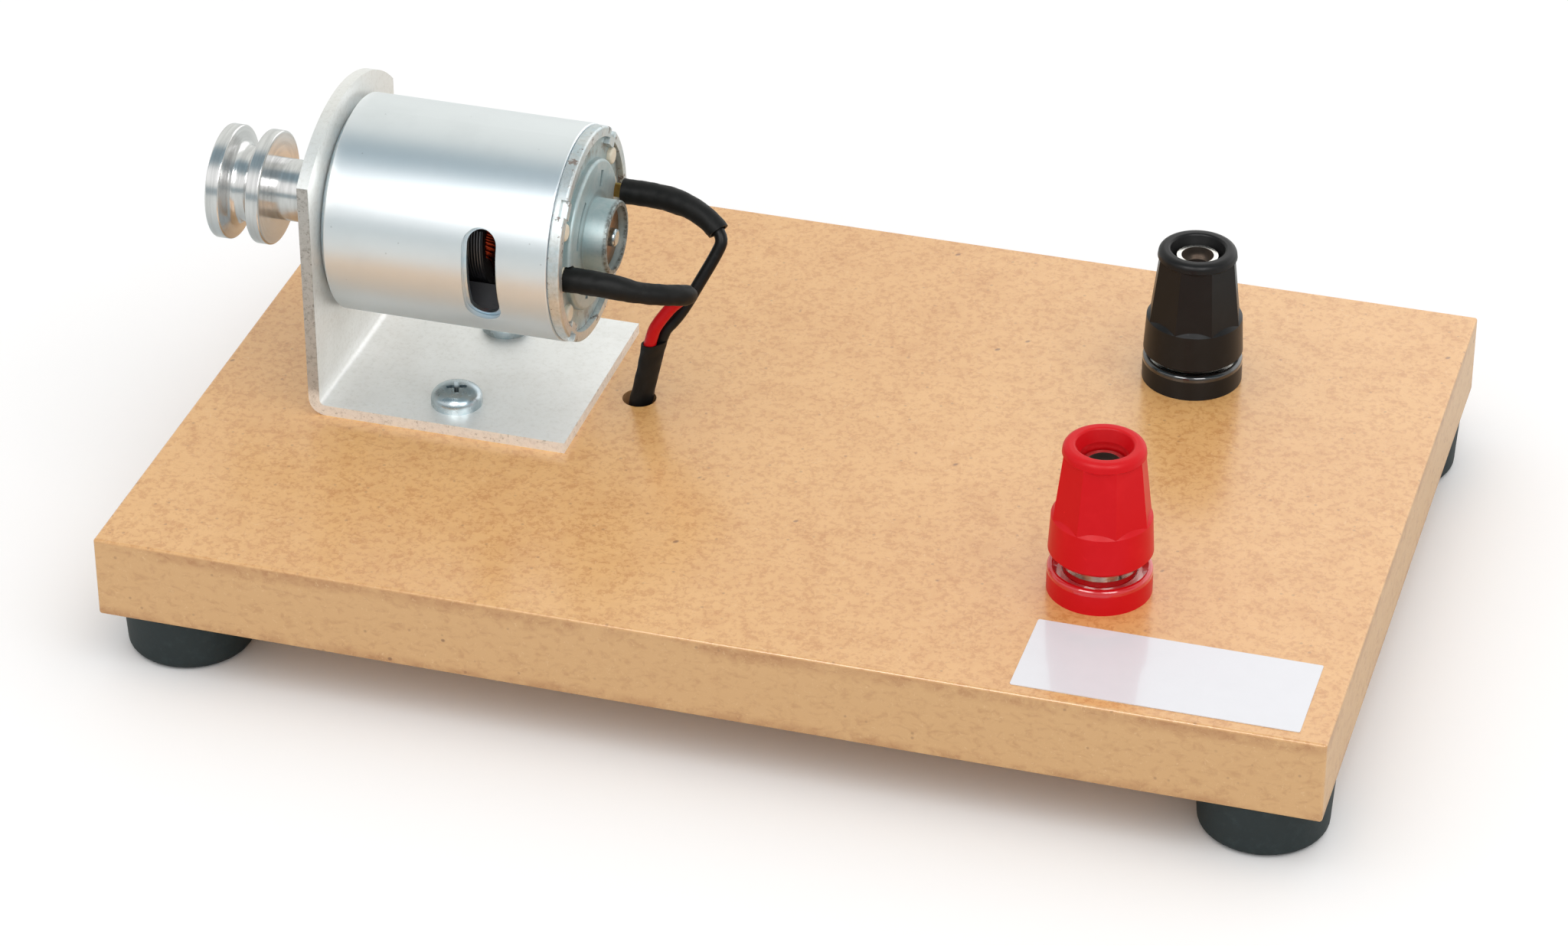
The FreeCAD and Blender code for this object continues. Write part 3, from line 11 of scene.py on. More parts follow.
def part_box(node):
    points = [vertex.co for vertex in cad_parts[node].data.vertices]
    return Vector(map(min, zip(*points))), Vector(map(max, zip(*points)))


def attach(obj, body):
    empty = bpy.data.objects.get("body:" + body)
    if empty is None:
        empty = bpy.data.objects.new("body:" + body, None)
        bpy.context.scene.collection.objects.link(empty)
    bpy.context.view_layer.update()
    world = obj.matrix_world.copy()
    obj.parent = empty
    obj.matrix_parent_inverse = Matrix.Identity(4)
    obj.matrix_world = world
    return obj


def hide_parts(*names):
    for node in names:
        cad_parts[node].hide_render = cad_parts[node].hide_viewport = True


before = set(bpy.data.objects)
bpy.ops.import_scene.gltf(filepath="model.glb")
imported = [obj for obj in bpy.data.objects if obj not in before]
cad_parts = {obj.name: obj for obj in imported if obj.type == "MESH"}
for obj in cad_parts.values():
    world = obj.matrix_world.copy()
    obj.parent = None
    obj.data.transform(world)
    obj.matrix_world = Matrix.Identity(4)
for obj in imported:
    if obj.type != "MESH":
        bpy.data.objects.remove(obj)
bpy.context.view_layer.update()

bl_info = {
    "name": "Demonstration electric motor",
    "version": (1, 0, 0),
    "blender": (4, 5, 0),
    "location": "View3D > Sidebar > Motor",
    "description": "Finishes, sleeves, windings and stage of a small motor on a wooden board",
    "category": "Object",
}

MM = 0.001

# Places taken from the frame
BOARD_LOW, BOARD_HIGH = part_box("baseboard")
BRACKET_LOW, BRACKET_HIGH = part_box("motor_bracket")
CAN_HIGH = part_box("motor_can")[1]
RING_LOW, RING_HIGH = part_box("flux_ring")
CORE_LOW, CORE_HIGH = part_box("armature_core")
AXIS_Y = (RING_LOW.y + RING_HIGH.y) / 2
AXIS_Z = (RING_LOW.z + RING_HIGH.z) / 2
# Pan-head screws that hold the bracket
HEAD_RADIUS = 4.5 * MM
HEAD_HEIGHT = 3.2 * MM
HEAD_SIDE = 1.1 * MM
DOME_TURN = math.radians(84)
DOME_STEPS = 7
DOME_TOP = 0.12
SHANK_RADIUS = 2.1 * MM
POINT_LENGTH = 3.0 * MM
POINT_SHARE = 0.15
RECESS_SIZE = (5.6 * MM, 1.3 * MM, 4.2 * MM)
RECESS_FOOT = 0.3
RECESS_TURNS = (20, 110)
# Armature
POLE_COUNT = 3
POLE_TURN = math.radians(3.0)
# Stage: what shiny surfaces mirror, and the soft light
FLOOR_SIZE = 8.0
ROOM_RADIUS = 0.95
ROOM_LENGTH = 5.0
WINDOW_TURNS = {"window_left": -18.6, "window_right": 35.6}
WINDOW_DISTANCE = 0.4
WINDOW_SIZE = (0.15, 0.18, 1.0)
KEY_PLACE = Vector((0.5, -0.4, 1.4))
KEY_TARGET = Vector((0, 0, 0.03))
KEY_SIZE = 1.3
WHITE = (1.0, 1.0, 1.0)


def shade(red, green, blue):
    """Linear colour of a display colour given in steps of 0 to 255."""

    def linear(step):
        share = step / 255
        return share / 12.92 if share <= 0.04045 else ((share + 0.055) / 1.055) ** 2.4

    return (linear(red), linear(green), linear(blue))


def colour_property(name, description, display):
    return FloatVectorProperty(
        name=name, description=description, subtype="COLOR", size=3, min=0.0, max=1.0,
        default=shade(*display),
    )


def length_property(name, description, metres):
    return FloatProperty(
        name=name, description=description, default=metres, unit="LENGTH", subtype="DISTANCE",
        precision=5,
    )


class BoardLooks(bpy.types.PropertyGroup):
    """Colours of the fibre board."""

    face: colour_property("Face", "Pressed faces of the board", (229, 175, 107))
    face_deep: colour_property("Face, deep", "Darker clouds in the pressed faces", (203, 140, 70))
    edge: colour_property("Edge", "Sawn edges of the board", (218, 170, 113))
    edge_deep: colour_property("Edge, deep", "Darker clouds in the sawn edges", (188, 133, 80))
    fibre: colour_property("Fibre", "Pale fibres", (240, 205, 155))
    speck: colour_property("Speck", "Dark bark specks", (120, 74, 38))


class MetalLooks(bpy.types.PropertyGroup):
    """Colours of the metals."""

    aluminium: colour_property("Aluminium", "Bent bracket", (250, 250, 248))
    turned_aluminium: colour_property("Turned aluminium", "Pulley", (244, 244, 243))
    plated_steel: colour_property("Plated steel", "Can and its outer ring", (236, 240, 242))
    cover_steel: colour_property("Cover steel", "End bell", (182, 193, 193))
    screw_steel: colour_property("Screw steel", "Screws, nuts and washers", (182, 192, 196))
    spring_steel: colour_property("Spring steel", "Magnet spring", (170, 172, 172))
    bronze: colour_property("Bronze", "Sintered bushes", (150, 116, 84))
    brass: colour_property("Brass", "Terminals, brush arms and spacer", (214, 182, 112))
    nickel: colour_property("Nickel", "Stems, inserts and solder tags", (240, 237, 230))
    copper: colour_property("Copper", "Commutator", (214, 128, 84))
    enamel: colour_property("Enamel", "Winding wire", (168, 62, 34))
    solder: colour_property("Solder", "Solder joints", (190, 192, 192))
    lamination: colour_property("Lamination", "Armature core", (120, 120, 124))


class MouldedLooks(bpy.types.PropertyGroup):
    """Colours of plastics, rubber and the other dull pieces."""

    red: colour_property("Red", "Red post", (212, 12, 22))
    black: colour_property("Black", "Black post", (23, 22, 22))
    rubber: colour_property("Rubber", "Feet", (27, 39, 41))
    sleeve: colour_property("Sleeve", "Shrunk sleeves", (22, 22, 21))
    red_wire: colour_property("Red lead", "Insulation of the red lead", (196, 8, 18))
    black_wire: colour_property("Black lead", "Insulation of the black lead", (20, 20, 20))
    card: colour_property("Card", "Brush card and thrust washers", (222, 212, 190))
    phenolic: colour_property("Hub", "Commutator hub", (72, 44, 28))
    ferrite: colour_property("Ferrite", "Magnets", (62, 62, 66))
    carbon: colour_property("Carbon", "Brushes", (44, 44, 46))
    label: colour_property("Label", "Blank sticker", (226, 227, 231))


class LabelSizes(bpy.types.PropertyGroup):
    """Blank sticker near the board's front right corner."""

    middle_x: length_property("Middle X", "Middle of the sticker along the board", 77.25 * MM)
    middle_y: length_property("Middle Y", "Middle of the sticker across the board", -56.95 * MM)
    length: length_property("Length", "Length of the sticker", 47.4 * MM)
    width: length_property("Width", "Width of the sticker", 19.3 * MM)
    thickness: length_property("Thickness", "Thickness of the sticker", 0.14 * MM)
    corner: length_property("Corner", "Rounding of its corners", 0.35 * MM)


class LeadSizes(bpy.types.PropertyGroup):
    """Leads and their shrunk sleeves."""

    lead_radius: length_property("Lead radius", "Radius over the insulation", 1.1 * MM)
    wall: length_property("Sleeve wall", "Wall of a shrunk sleeve", 0.4 * MM)
    wrinkle: length_property("Wrinkle", "Height of the creases in a sleeve", 0.09 * MM)
    lower_length: length_property("Oval length", "Lower sleeve, along the pair of leads", 4.9 * MM)
    lower_width: length_property("Oval width", "Lower sleeve, across the pair of leads", 2.7 * MM)
    lower_top: length_property("Oval top", "Top of the lower sleeve over the board", 12.0 * MM)


class WindingSizes(bpy.types.PropertyGroup):
    """Enamelled wire on the three poles."""

    wire_radius: length_property("Wire radius", "Radius of the winding wire", 0.25 * MM)
    pitch: length_property("Pitch", "Distance between neighbouring turns", 0.5 * MM)
    web: length_property("Web", "Half width of a pole's web", 2.5 * MM)
    foot: length_property("Foot", "Distance of the lowest turns from the axis", 4.95 * MM)
    reach: length_property("Reach", "Distance of the outermost turns from the axis", 9.1 * MM)


class StageSettings(bpy.types.PropertyGroup):
    """Floor, lights and camera."""

    sky: FloatProperty(name="Sky", description="Strength of the even light", default=0.9, min=0.0)
    key: FloatProperty(name="Key", description="Power of the large soft light", default=5.0,
                       unit="POWER")
    window: FloatProperty(name="Windows", description="Brightness of the two bright windows that "
                          "shiny surfaces mirror", default=8.0)
    lens: FloatProperty(name="Lens", description="Focal length in millimetres", default=115.74)
    camera_place: FloatVectorProperty(name="Camera", description="Place of the camera",
                                      subtype="XYZ", unit="LENGTH",
                                      default=(0.2069, -0.7133, 0.4882))
    camera_turn: FloatVectorProperty(name="Camera turn", description="Rotation of the camera",
                                     subtype="EULER", unit="ROTATION",
                                     default=tuple(math.radians(a) for a in (57.489, 0, 16.457)))
    floor_colour: colour_property("Floor", "Pale floor as the object sees it", (232, 232, 230))
    mirrored_floor: colour_property("Mirrored floor", "Floor as shiny surfaces mirror it",
                                    (222, 226, 224))
    wall: colour_property("Wall", "Wall of the room that metal mirrors", (236, 238, 234))
    ceiling: colour_property("Ceiling", "Dark strip overhead", (104, 134, 148))
    horizon: colour_property("Horizon", "Dark strip at eye level in front", (128, 148, 156))


class Signal:
    """Number that varies over a surface, so that maths on it reads as an expression."""

    def __init__(self, finish, socket):
        self.finish = finish
        self.socket = socket

    def _maths(self, operation, first, second):
        return self.finish.maths(operation, first, second)

    def __add__(self, other):
        return self._maths("ADD", self, other)

    def __sub__(self, other):
        return self._maths("SUBTRACT", self, other)

    def __rsub__(self, other):
        return self._maths("SUBTRACT", other, self)

    def __mul__(self, other):
        return self._maths("MULTIPLY", self, other)

    __radd__ = __add__
    __rmul__ = __mul__

    def within(self, low, high):
        """0 below low, 1 above high and smooth in between; the other way round if low > high."""
        settings = {"interpolation_type": "SMOOTHSTEP"}
        falling = low > high
        ends = (high, low) if falling else (low, high)
        node = self.finish.node("ShaderNodeMapRange", settings, {
            "Value": self, "From Min": ends[0], "From Max": ends[1],
            "To Min": 1.0 if falling else 0.0, "To Max": 0.0 if falling else 1.0,
        })
        return Signal(self.finish, node.outputs["Result"])

    def size(self):
        return self.finish.maths("ABSOLUTE", self)


def socket_name(key):
    return key.replace("_", " ").title().replace("Ior", "IOR")


class Finish:
    """Material built up node by node round one Principled shader."""

    def __init__(self, name, colour, roughness, metallic=0.0, **constants):
        self.material = bpy.data.materials.new(name)
        self.material.use_nodes = True
        self.tree = self.material.node_tree
        self.tree.nodes.clear()
        fixed = {socket_name(key): value for key, value in constants.items()}
        self.shader = self.node("ShaderNodeBsdfPrincipled", inputs={
            "Base Color": (*colour, 1.0), "Roughness": roughness, "Metallic": metallic, **fixed,
        })
        self.node("ShaderNodeOutputMaterial", inputs={"Surface": self.shader.outputs["BSDF"]})
        self.place = self.node("ShaderNodeTexCoord").outputs["Object"]

    def node(self, kind, settings=None, inputs=None):
        """Adds a node: its settings first, then the values or links of its sockets."""
        node = self.tree.nodes.new(kind)
        for key, value in (settings or {}).items():
            setattr(node, key, value)
        for key, value in (inputs or {}).items():
            self.join(value, node.inputs[key])
        return node

    def join(self, value, socket):
        if isinstance(value, Signal):
            self.tree.links.new(value.socket, socket)
        elif isinstance(value, bpy.types.NodeSocket):
            self.tree.links.new(value, socket)
        else:
            socket.default_value = value

    def maths(self, operation, *values):
        node = self.node("ShaderNodeMath", {"operation": operation}, dict(enumerate(values)))
        return Signal(self, node.outputs[0])

    def axes(self, vector=None):
        """The three parts of a vector, which is the place on the surface unless given."""
        node = self.node("ShaderNodeSeparateXYZ", inputs={0: vector or self.place})
        return [Signal(self, output) for output in node.outputs]

    def mapped(self, scale, turn=(0, 0, 0)):
        """Place on the surface, turned and then stretched."""
        turned = self.node("ShaderNodeMapping", {"vector_type": "POINT"}, {
            "Vector": self.place, "Rotation": turn}).outputs[0]
        return self.node("ShaderNodeVectorMath", {"operation": "MULTIPLY"},
                         {0: turned, 1: scale}).outputs[0]

    def grain(self, scale, detail=2.0, rough=0.5, warp=0.0, vector=None):
        """Cloudy noise, 0 to 1."""
        node = self.node("ShaderNodeTexNoise", inputs={
            "Vector": vector or self.place, "Scale": scale, "Detail": detail, "Roughness": rough,
            "Distortion": warp})
        return Signal(self, node.outputs["Fac"])

    def cells(self, scale, vector=None):
        """Distance to the nearest of many scattered points, and a random number for each."""
        node = self.node("ShaderNodeTexVoronoi", {"feature": "F1"}, {
            "Vector": vector or self.place, "Scale": scale})
        return Signal(self, node.outputs["Distance"]), self.axes(node.outputs["Color"])[0]

    def blend(self, share, first, second):
        """Colour between two colours."""
        node = self.node("ShaderNodeMix", {"data_type": "RGBA"},
                         {0: share, 6: self._colour(first), 7: self._colour(second)})
        return node.outputs[2]

    def _colour(self, value):
        if isinstance(value, bpy.types.NodeSocket):
            return value
        return (*value, 1.0)

    def bump(self, height, distance, strength):
        return self.node("ShaderNodeBump", inputs={
            "Height": height, "Distance": distance, "Strength": strength}).outputs["Normal"]

    def scuffs(self, low, high):
        """Thin slanting scratches, 0 to 1."""
        streaks = self.mapped((1400, 300, 500), (0.5, 0.3, 0.8))
        return self.grain(1.0, 2.0, 0.6, 0.8, streaks).within(low, high)

    def cloud_and_grain(self, wide, fine):
        """Two noises: wide clouds and a fine grain."""
        return self.grain(wide, 4.0, 0.65), self.grain(fine, 3.0, 0.7)

    def wear(self, **sockets):
        """Links what varies over the surface to the shader."""
        for key, value in sockets.items():
            self.join(value, self.shader.inputs[socket_name(key)])
        return self


def darker(colour, share):
    return tuple(part * share for part in colour)


def paler(colour, share, lift):
    return tuple(part * share + lift for part in colour)


def tinted(colour, tint):
    """Colour with a share kept of its red, of its green and of its blue."""
    return tuple(part * share for part, share in zip(colour, tint))


def assign(finish, *nodes):
    """Gives a finish to frame nodes or new pieces."""
    for item in nodes:
        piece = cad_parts[item] if isinstance(item, str) else item
        piece.data.materials.clear()
        piece.data.materials.append(finish.material)


def radius_about_axis(finish):
    """Place along the motor's axis, distance from it, and the angle round it."""
    x, y, z = finish.axes()
    across = y - AXIS_Y
    up = z - AXIS_Z
    radius = finish.maths("SQRT", across * across + up * up)
    return x, radius, finish.maths("ARCTAN2", across, up)


# Finishes

def fibre_board(looks):
    """Pressed board: satin faces with a fine warm grain and duller, smudged sawn edges."""
    finish = Finish("fibre_board", looks.face, 0.5, coat_weight=0.5, coat_roughness=0.22,
                    coat_ior=1.75)
    z = finish.axes()[2]
    low, high = BOARD_LOW.z, BOARD_HIGH.z
    edge = z.within(high - 0.1 * MM, high - 0.6 * MM) * z.within(low + 0.05 * MM, low + 0.4 * MM)
    cloud = finish.grain(24.0, 4.0, 0.6)
    mottle = finish.grain(190.0, 5.0, 0.62, 0.5)
    grain = finish.grain(900.0, 4.0, 0.7, 0.4)
    clouds = (cloud.within(0.38, 0.7) * 0.2 + mottle.within(0.42, 0.72) * 0.26
              + grain.within(0.46, 0.62) * 0.6)
    face = finish.blend(clouds, looks.face, looks.face_deep)
    hems = finish.maths("MAXIMUM", z.within(high - 3.4 * MM, high - 0.8 * MM),
                        z.within(low + 2.4 * MM, low + 0.6 * MM))
    smudge = finish.grain(85.0, 5.0, 0.68, 0.5)
    lying = finish.grain(1.0, 4.0, 0.66, 0.6, finish.mapped((420, 420, 700)))
    tone = hems * smudge.within(0.36, 0.62) * 0.75 + lying.within(0.46, 0.72) * 0.5
    sawn = finish.blend(tone, looks.edge, looks.edge_deep)
    colour = finish.blend(edge, face, sawn)
    hairs = None
    for turn, scale in ((0.4, 620), (1.5, 760), (2.6, 690)):
        strand = finish.grain(1.0, 2.0, 0.5, 1.4,
                              finish.mapped((scale, scale * 4.2, scale * 2), (0, 0, turn)))
        line = strand.within(0.665, 0.74)
        hairs = line if hairs is None else finish.maths("MAXIMUM", hairs, line)
    colour = finish.blend(hairs * 0.35, colour, looks.fibre)
    near, chance = finish.cells(150.0, finish.mapped((1, 0.62, 1), (0, 0, 0.7)))
    specks = near.within(0.07, 0.03) * chance.within(0.55, 0.6)
    tiny, rare = finish.cells(520.0)
    dots = tiny.within(0.2, 0.08) * rare.within(0.8, 0.84)
    colour = finish.blend(specks * 0.7, colour, looks.speck)
    colour = finish.blend(dots * 0.35, colour, looks.speck)
    rough = 0.44 + mottle * 0.12 + edge * 0.2 + hairs * 0.05
    fuzz = finish.grain(1900.0, 3.0, 0.7)
    height = fuzz * 0.6 + mottle * 0.4 + hairs * 0.3 - specks * 0.4
    return finish.wear(
        base_color=colour, roughness=rough, coat_weight=0.75 - edge * 0.2,
        normal=finish.bump(height, 0.012 * MM, 0.7))


def rubber(colour):
    """Dusty rubber with fine pits."""
    finish = Finish("rubber", colour, 0.55, specular_ior_level=0.45)
    dust = finish.grain(420.0, 4.0, 0.7)
    pits = finish.grain(2600.0, 2.0, 0.6)
    return finish.wear(
        base_color=finish.blend(dust.within(0.45, 0.75) * 0.5, colour, paler(colour, 1.8, 0.012)),
        roughness=0.46 + dust * 0.25,
        normal=finish.bump(pits, 0.03 * MM, 0.7))


def rolled_aluminium(colour):
    """Dull sheet with a fine grain, faint scratches and worn, slightly pitted edges, and painted
    shade on the upright part, darkest along its cut edges.
    """
    finish = Finish("rolled_aluminium", colour, 0.42, 1.0)
    x, y, z = finish.axes()
    half = (BRACKET_HIGH.y - BRACKET_LOW.y) / 2
    side = y.size().within(half - 0.12 * MM, half - 0.04 * MM)
    end = x.within(BRACKET_HIGH.x - 0.12 * MM, BRACKET_HIGH.x - 0.04 * MM)
    grain = finish.grain(1500.0, 4.0, 0.72)
    stain = finish.grain(75.0, 4.0, 0.62)
    scratch = finish.grain(1.0, 1.0, 0.4, 0.5, finish.mapped((900, 120, 900), (0.3, 0.5, 0.45)))
    lines = scratch.within(0.7, 0.73)
    cut = finish.maths("MAXIMUM", side, end)
    pits = finish.grain(950.0, 3.0, 0.7).within(0.58, 0.68)
    # painted shade: the bracket's upright part is darkened, its cut edges most
    upright = z.within(BOARD_HIGH.z + 3 * MM, BOARD_HIGH.z + 6 * MM)
    deep = tinted(colour, (0.66, 0.64, 0.6))
    shaded = finish.blend(stain.within(0.35, 0.75) * 0.2 + grain.within(0.46, 0.74) * 0.28
                          + upright * 0.3, colour, deep)
    edged = finish.blend(pits * 0.4 + grain.within(0.45, 0.75) * 0.35 + upright * 0.65,
                         darker(colour, 0.94), darker(deep, 0.42))
    rough = 0.36 + grain * 0.14 + stain * 0.1 + cut * 0.06
    height = grain * 0.9 - lines * 0.6 - pits * cut * 0.9
    return finish.wear(
        base_color=finish.blend(cut, shaded, edged), roughness=rough,
        metallic=0.72 - cut * 0.1,
        normal=finish.bump(height, 0.012 * MM, 0.8))


def turned_metal(name, colour, roughness):
    """Lathe-turned metal: fine rings about the motor's axis, and a painted reflection that turns
    the lower half blue grey.
    """
    finish = Finish(name, colour, roughness, 1.0)
    x, radius, angle = radius_about_axis(finish)
    def turned_lines(density, turn):
        lines = finish.node("ShaderNodeCombineXYZ", inputs={
            0: x * density, 1: radius * density, 2: angle * turn}).outputs[0]
        return finish.grain(1.0, 2.0, 0.6, 0.0, lines)

    rings = turned_lines(9000.0, 0.6)
    bands = turned_lines(1500.0, 0.9)
    dents = finish.grain(500.0, 3.0, 0.7)
    z = finish.axes()[2]
    # painted reflection: below the axis the colour turns a cool blue grey
    low = z.within(AXIS_Z + 1 * MM, AXIS_Z - 5 * MM)
    tone = finish.blend(low * 0.7, darker(colour, 0.84), (0.5, 0.58, 0.64))
    shaded = finish.blend(bands.within(0.35, 0.65) * 0.4 + dents.within(0.62, 0.72) * 0.2, tone,
                          darker(colour, 0.5))
    return finish.wear(
        base_color=shaded, roughness=roughness - 0.05 + bands * 0.1, metallic=0.84,
        normal=finish.bump(rings * 0.5 + bands * 0.5, 0.003 * MM, 0.7))


def plated_ring(colour):
    """Satin plating with faint drawn lines round the cylinder and a few fine spots; a painted
    reflection makes the lower half blue grey and less metallic, and painted shade darkens the
    underside.
    """
    finish = Finish("plated_ring", colour, 0.36, 1.0)
    z = finish.axes()[2]
    # painted reflection: the lower half turns blue grey and less metallic
    low = z.within(AXIS_Z + 2 * MM, AXIS_Z - 9 * MM)
    drawn = finish.grain(1.0, 3.0, 0.6, 0.0, finish.mapped((30, 700, 700)))
    haze = finish.grain(110.0, 3.0, 0.6)
    grain = finish.grain(1.0, 2.0, 0.6, 0.0, finish.mapped((1500, 5200, 5200)))
    spots, chance = finish.cells(900.0)
    marks = spots.within(0.2, 0.08) * chance.within(0.965, 0.98)
    shaded = finish.blend(haze.within(0.4, 0.75) * 0.1 + marks * 0.5, colour, darker(colour, 0.6))
    shaded = finish.blend(low * 0.8, shaded, (0.5, 0.6, 0.66))
    # painted shade: the underside darkens to a warm grey
    under = z.within(AXIS_Z - 9 * MM, AXIS_Z - 17 * MM)
    shaded = finish.blend(under * 0.35, shaded, (0.36, 0.36, 0.33))
    return finish.wear(
        base_color=shaded, roughness=0.34 + haze * 0.05 + grain * 0.04,
        metallic=1.0 - low * 0.66,
        normal=finish.bump(drawn * 0.3 + grain * 0.7, 0.004 * MM, 0.5))


def plated_can(colour):
    """Zinc-plated drawing steel, stained along its crimped rim."""
    finish = Finish("plated_can", colour, 0.3, 1.0)
    rim = finish.axes()[0].within(CAN_HIGH.x - 2.3 * MM, CAN_HIGH.x - 1.9 * MM)
    haze = finish.grain(260.0, 4.0, 0.65)
    pits = finish.grain(1500.0, 3.0, 0.7)
    rust = finish.grain(480.0, 5.0, 0.72).within(0.585, 0.64) * rim
    dull = rim * (0.4 + pits.within(0.4, 0.65) * 0.2)
    shaded = finish.blend(haze.within(0.35, 0.7), colour, tinted(colour, (0.78, 0.9, 0.97)))
    shaded = finish.blend(dull, shaded, shade(178, 179, 172))
    shaded = finish.blend(rust * 0.8, shaded, shade(96, 70, 52))
    return finish.wear(
        base_color=shaded, roughness=0.28 + haze * 0.14 + rim * 0.12 + rust * 0.2,
        metallic=1.0 - rust * 0.6,
        normal=finish.bump(pits * 0.6 + haze * 0.4 - rust, 0.01 * MM, 0.6))


def zinc_cover(colour):
    """Passivated zinc: cloudy grey blue, speckled, stained towards its rim, worn at its boss, with
    painted shade in a ring round the foot of the boss.
    """
    finish = Finish("zinc_cover", colour, 0.42, 1.0)
    x, radius, _ = radius_about_axis(finish)
    cloud = finish.grain(240.0, 5.0, 0.65, 0.4)
    grit = finish.grain(1500.0, 4.0, 0.72)
    rubbed = finish.grain(700.0, 3.0, 0.7).within(0.62, 0.7)
    stained = finish.grain(330.0, 5.0, 0.7).within(0.48, 0.64) * radius.within(12.5 * MM, 15.5 * MM)
    boss_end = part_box("end_bell")[1].x
    lip = x.within(boss_end - 0.9 * MM, boss_end - 0.3 * MM) * (0.35 + grit.within(0.4, 0.6) * 0.5)
    # painted shade: a dark ring round the foot of the boss
    corner = radius.within(6.6 * MM, 7.1 * MM) * radius.within(8.1 * MM, 7.4 * MM)
    shaded = finish.blend(cloud.within(0.3, 0.66) * 0.6 + grit.within(0.46, 0.7) * 0.3, colour,
                          tinted(colour, (0.66, 0.8, 0.83)))
    shaded = finish.blend(rubbed * 0.4, shaded, shade(206, 204, 196))
    shaded = finish.blend(stained * 0.7, shaded, shade(122, 108, 92))
    shaded = finish.blend(lip + corner * 0.3, shaded, shade(84, 80, 72))
    return finish.wear(
        base_color=shaded, roughness=0.36 + cloud * 0.16 + grit * 0.08,
        metallic=0.62 - stained * 0.2,
        normal=finish.bump(grit * 0.8 + cloud * 0.3, 0.012 * MM, 0.8))


def plain_metal(name, colour, roughness, stain=(0.7, 0.7, 0.7), amount=0.4, grit=1400.0):
    """Metal with clouded tone and roughness and a fine grain."""
    finish = Finish(name, colour, roughness, 1.0)
    cloud, fine = finish.cloud_and_grain(grit * 0.28, grit)
    shaded = finish.blend(cloud.within(0.4, 0.72) * amount + fine.within(0.5, 0.8) * amount * 0.5,
                          colour, tinted(colour, stain))
    return finish.wear(
        base_color=shaded, roughness=roughness - 0.07 + cloud * 0.16,
        normal=finish.bump(fine * 0.7 + cloud * 0.3, 0.01 * MM, 0.7))


def moulded(name, colour, roughness, grit=1700.0, relief=0.008, shine=0.5):
    """Moulded plastic: even colour with a faint flow, small scuffs and a fine skin."""
    finish = Finish(name, colour, roughness, specular_ior_level=shine)
    flow = finish.grain(180.0, 3.0, 0.6, 0.8)
    surface = finish.grain(grit, 2.0, 0.6)
    marks = finish.scuffs(0.68, 0.74)
    shaded = finish.blend(flow.within(0.4, 0.75) * 0.35 + marks * 0.25, colour,
                          paler(colour, 1.25, 0.006))
    return finish.wear(
        base_color=shaded, roughness=roughness - 0.04 + flow * 0.08 + marks * 0.16,
        normal=finish.bump(surface * 0.6 + flow * 0.6 - marks * 0.5, relief * MM, 0.6))


def post_moulding(name, colour, gloss):
    """Satin moulded plastic, glossy in the groove between a post's cap and its collar."""
    finish = Finish(name, colour, 0.34, specular_ior_level=gloss, coat_weight=0.5,
                    coat_roughness=0.07, coat_ior=1.7)
    z = finish.axes()[2]
    base = BOARD_HIGH.z
    groove = z.within(base + 3.5 * MM, base + 3.7 * MM) * z.within(base + 5.9 * MM, base + 5.4 * MM)
    flow = finish.grain(170.0, 3.0, 0.6, 0.8)
    surface = finish.grain(1500.0, 3.0, 0.65)
    marks = finish.scuffs(0.69, 0.75)
    chips, chance = finish.cells(700.0)
    dust = chips.within(0.12, 0.04) * chance.within(0.93, 0.95)
    shaded = finish.blend(flow.within(0.45, 0.8) * 0.2 + marks * 0.3 + dust * 0.8, colour,
                          paler(colour, 1.25, 0.012))
    return finish.wear(
        base_color=shaded, roughness=0.32 + flow * 0.1 + marks * 0.15 - groove * 0.2,
        coat_weight=groove,
        normal=finish.bump(surface * 0.5 + flow * 0.6 - marks * 0.5, 0.006 * MM, 0.6))


def upright_radius(finish, centre):
    """Distance from the nearer of two upright lines, at the centre (x, y) and at (x, -y)."""
    x, y, _ = finish.axes()
    ahead, across = x - centre[0], y.size() - centre[1]
    return finish.maths("SQRT", ahead * ahead + across * across)


def screw_steel(colour, centre, top):
    """Bright zinc plate, with painted shade down in the cross recess."""
    finish = Finish("pan_head_steel", colour, 0.26, 1.0)
    z = finish.axes()[2]
    # painted shade: dark steel colour down in the cross recess
    recess_shade = upright_radius(finish, centre).within(2.5 * MM, 1.5 * MM) * z.within(
        top - 0.45 * MM, top - 1.2 * MM)
    cloud, fine = finish.cloud_and_grain(420.0, 1500.0)
    shaded = finish.blend(cloud.within(0.4, 0.7) * 0.6 + fine.within(0.5, 0.8) * 0.25, colour,
                          tinted(colour, (0.6, 0.74, 0.8)))
    return finish.wear(
        base_color=finish.blend(recess_shade * 0.9, shaded, shade(44, 52, 52)),
        roughness=0.22 + cloud * 0.12 + recess_shade * 0.2,
        normal=finish.bump(fine * 0.6 + cloud * 0.4, 0.008 * MM, 0.7))


def nickel_tube(colour, centre):
    """Bright nickel, duller down the bore of each socket, with painted shade there."""
    finish = Finish("nickel", colour, 0.16, 1.0)
    # painted shade: dark brown grey down the bore
    bore = upright_radius(finish, centre).within(2.9 * MM, 2.78 * MM)
    cloud, fine = finish.cloud_and_grain(400.0, 1400.0)
    shaded = finish.blend(cloud.within(0.4, 0.72) * 0.25 + fine.within(0.5, 0.8) * 0.15, colour,
                          darker(colour, 0.62))
    return finish.wear(
        base_color=finish.blend(bore * 0.9, shaded, shade(122, 108, 98)),
        roughness=0.11 + cloud * 0.12 + bore * 0.25,
        normal=finish.bump(fine * 0.6 + cloud * 0.4, 0.006 * MM, 0.6))


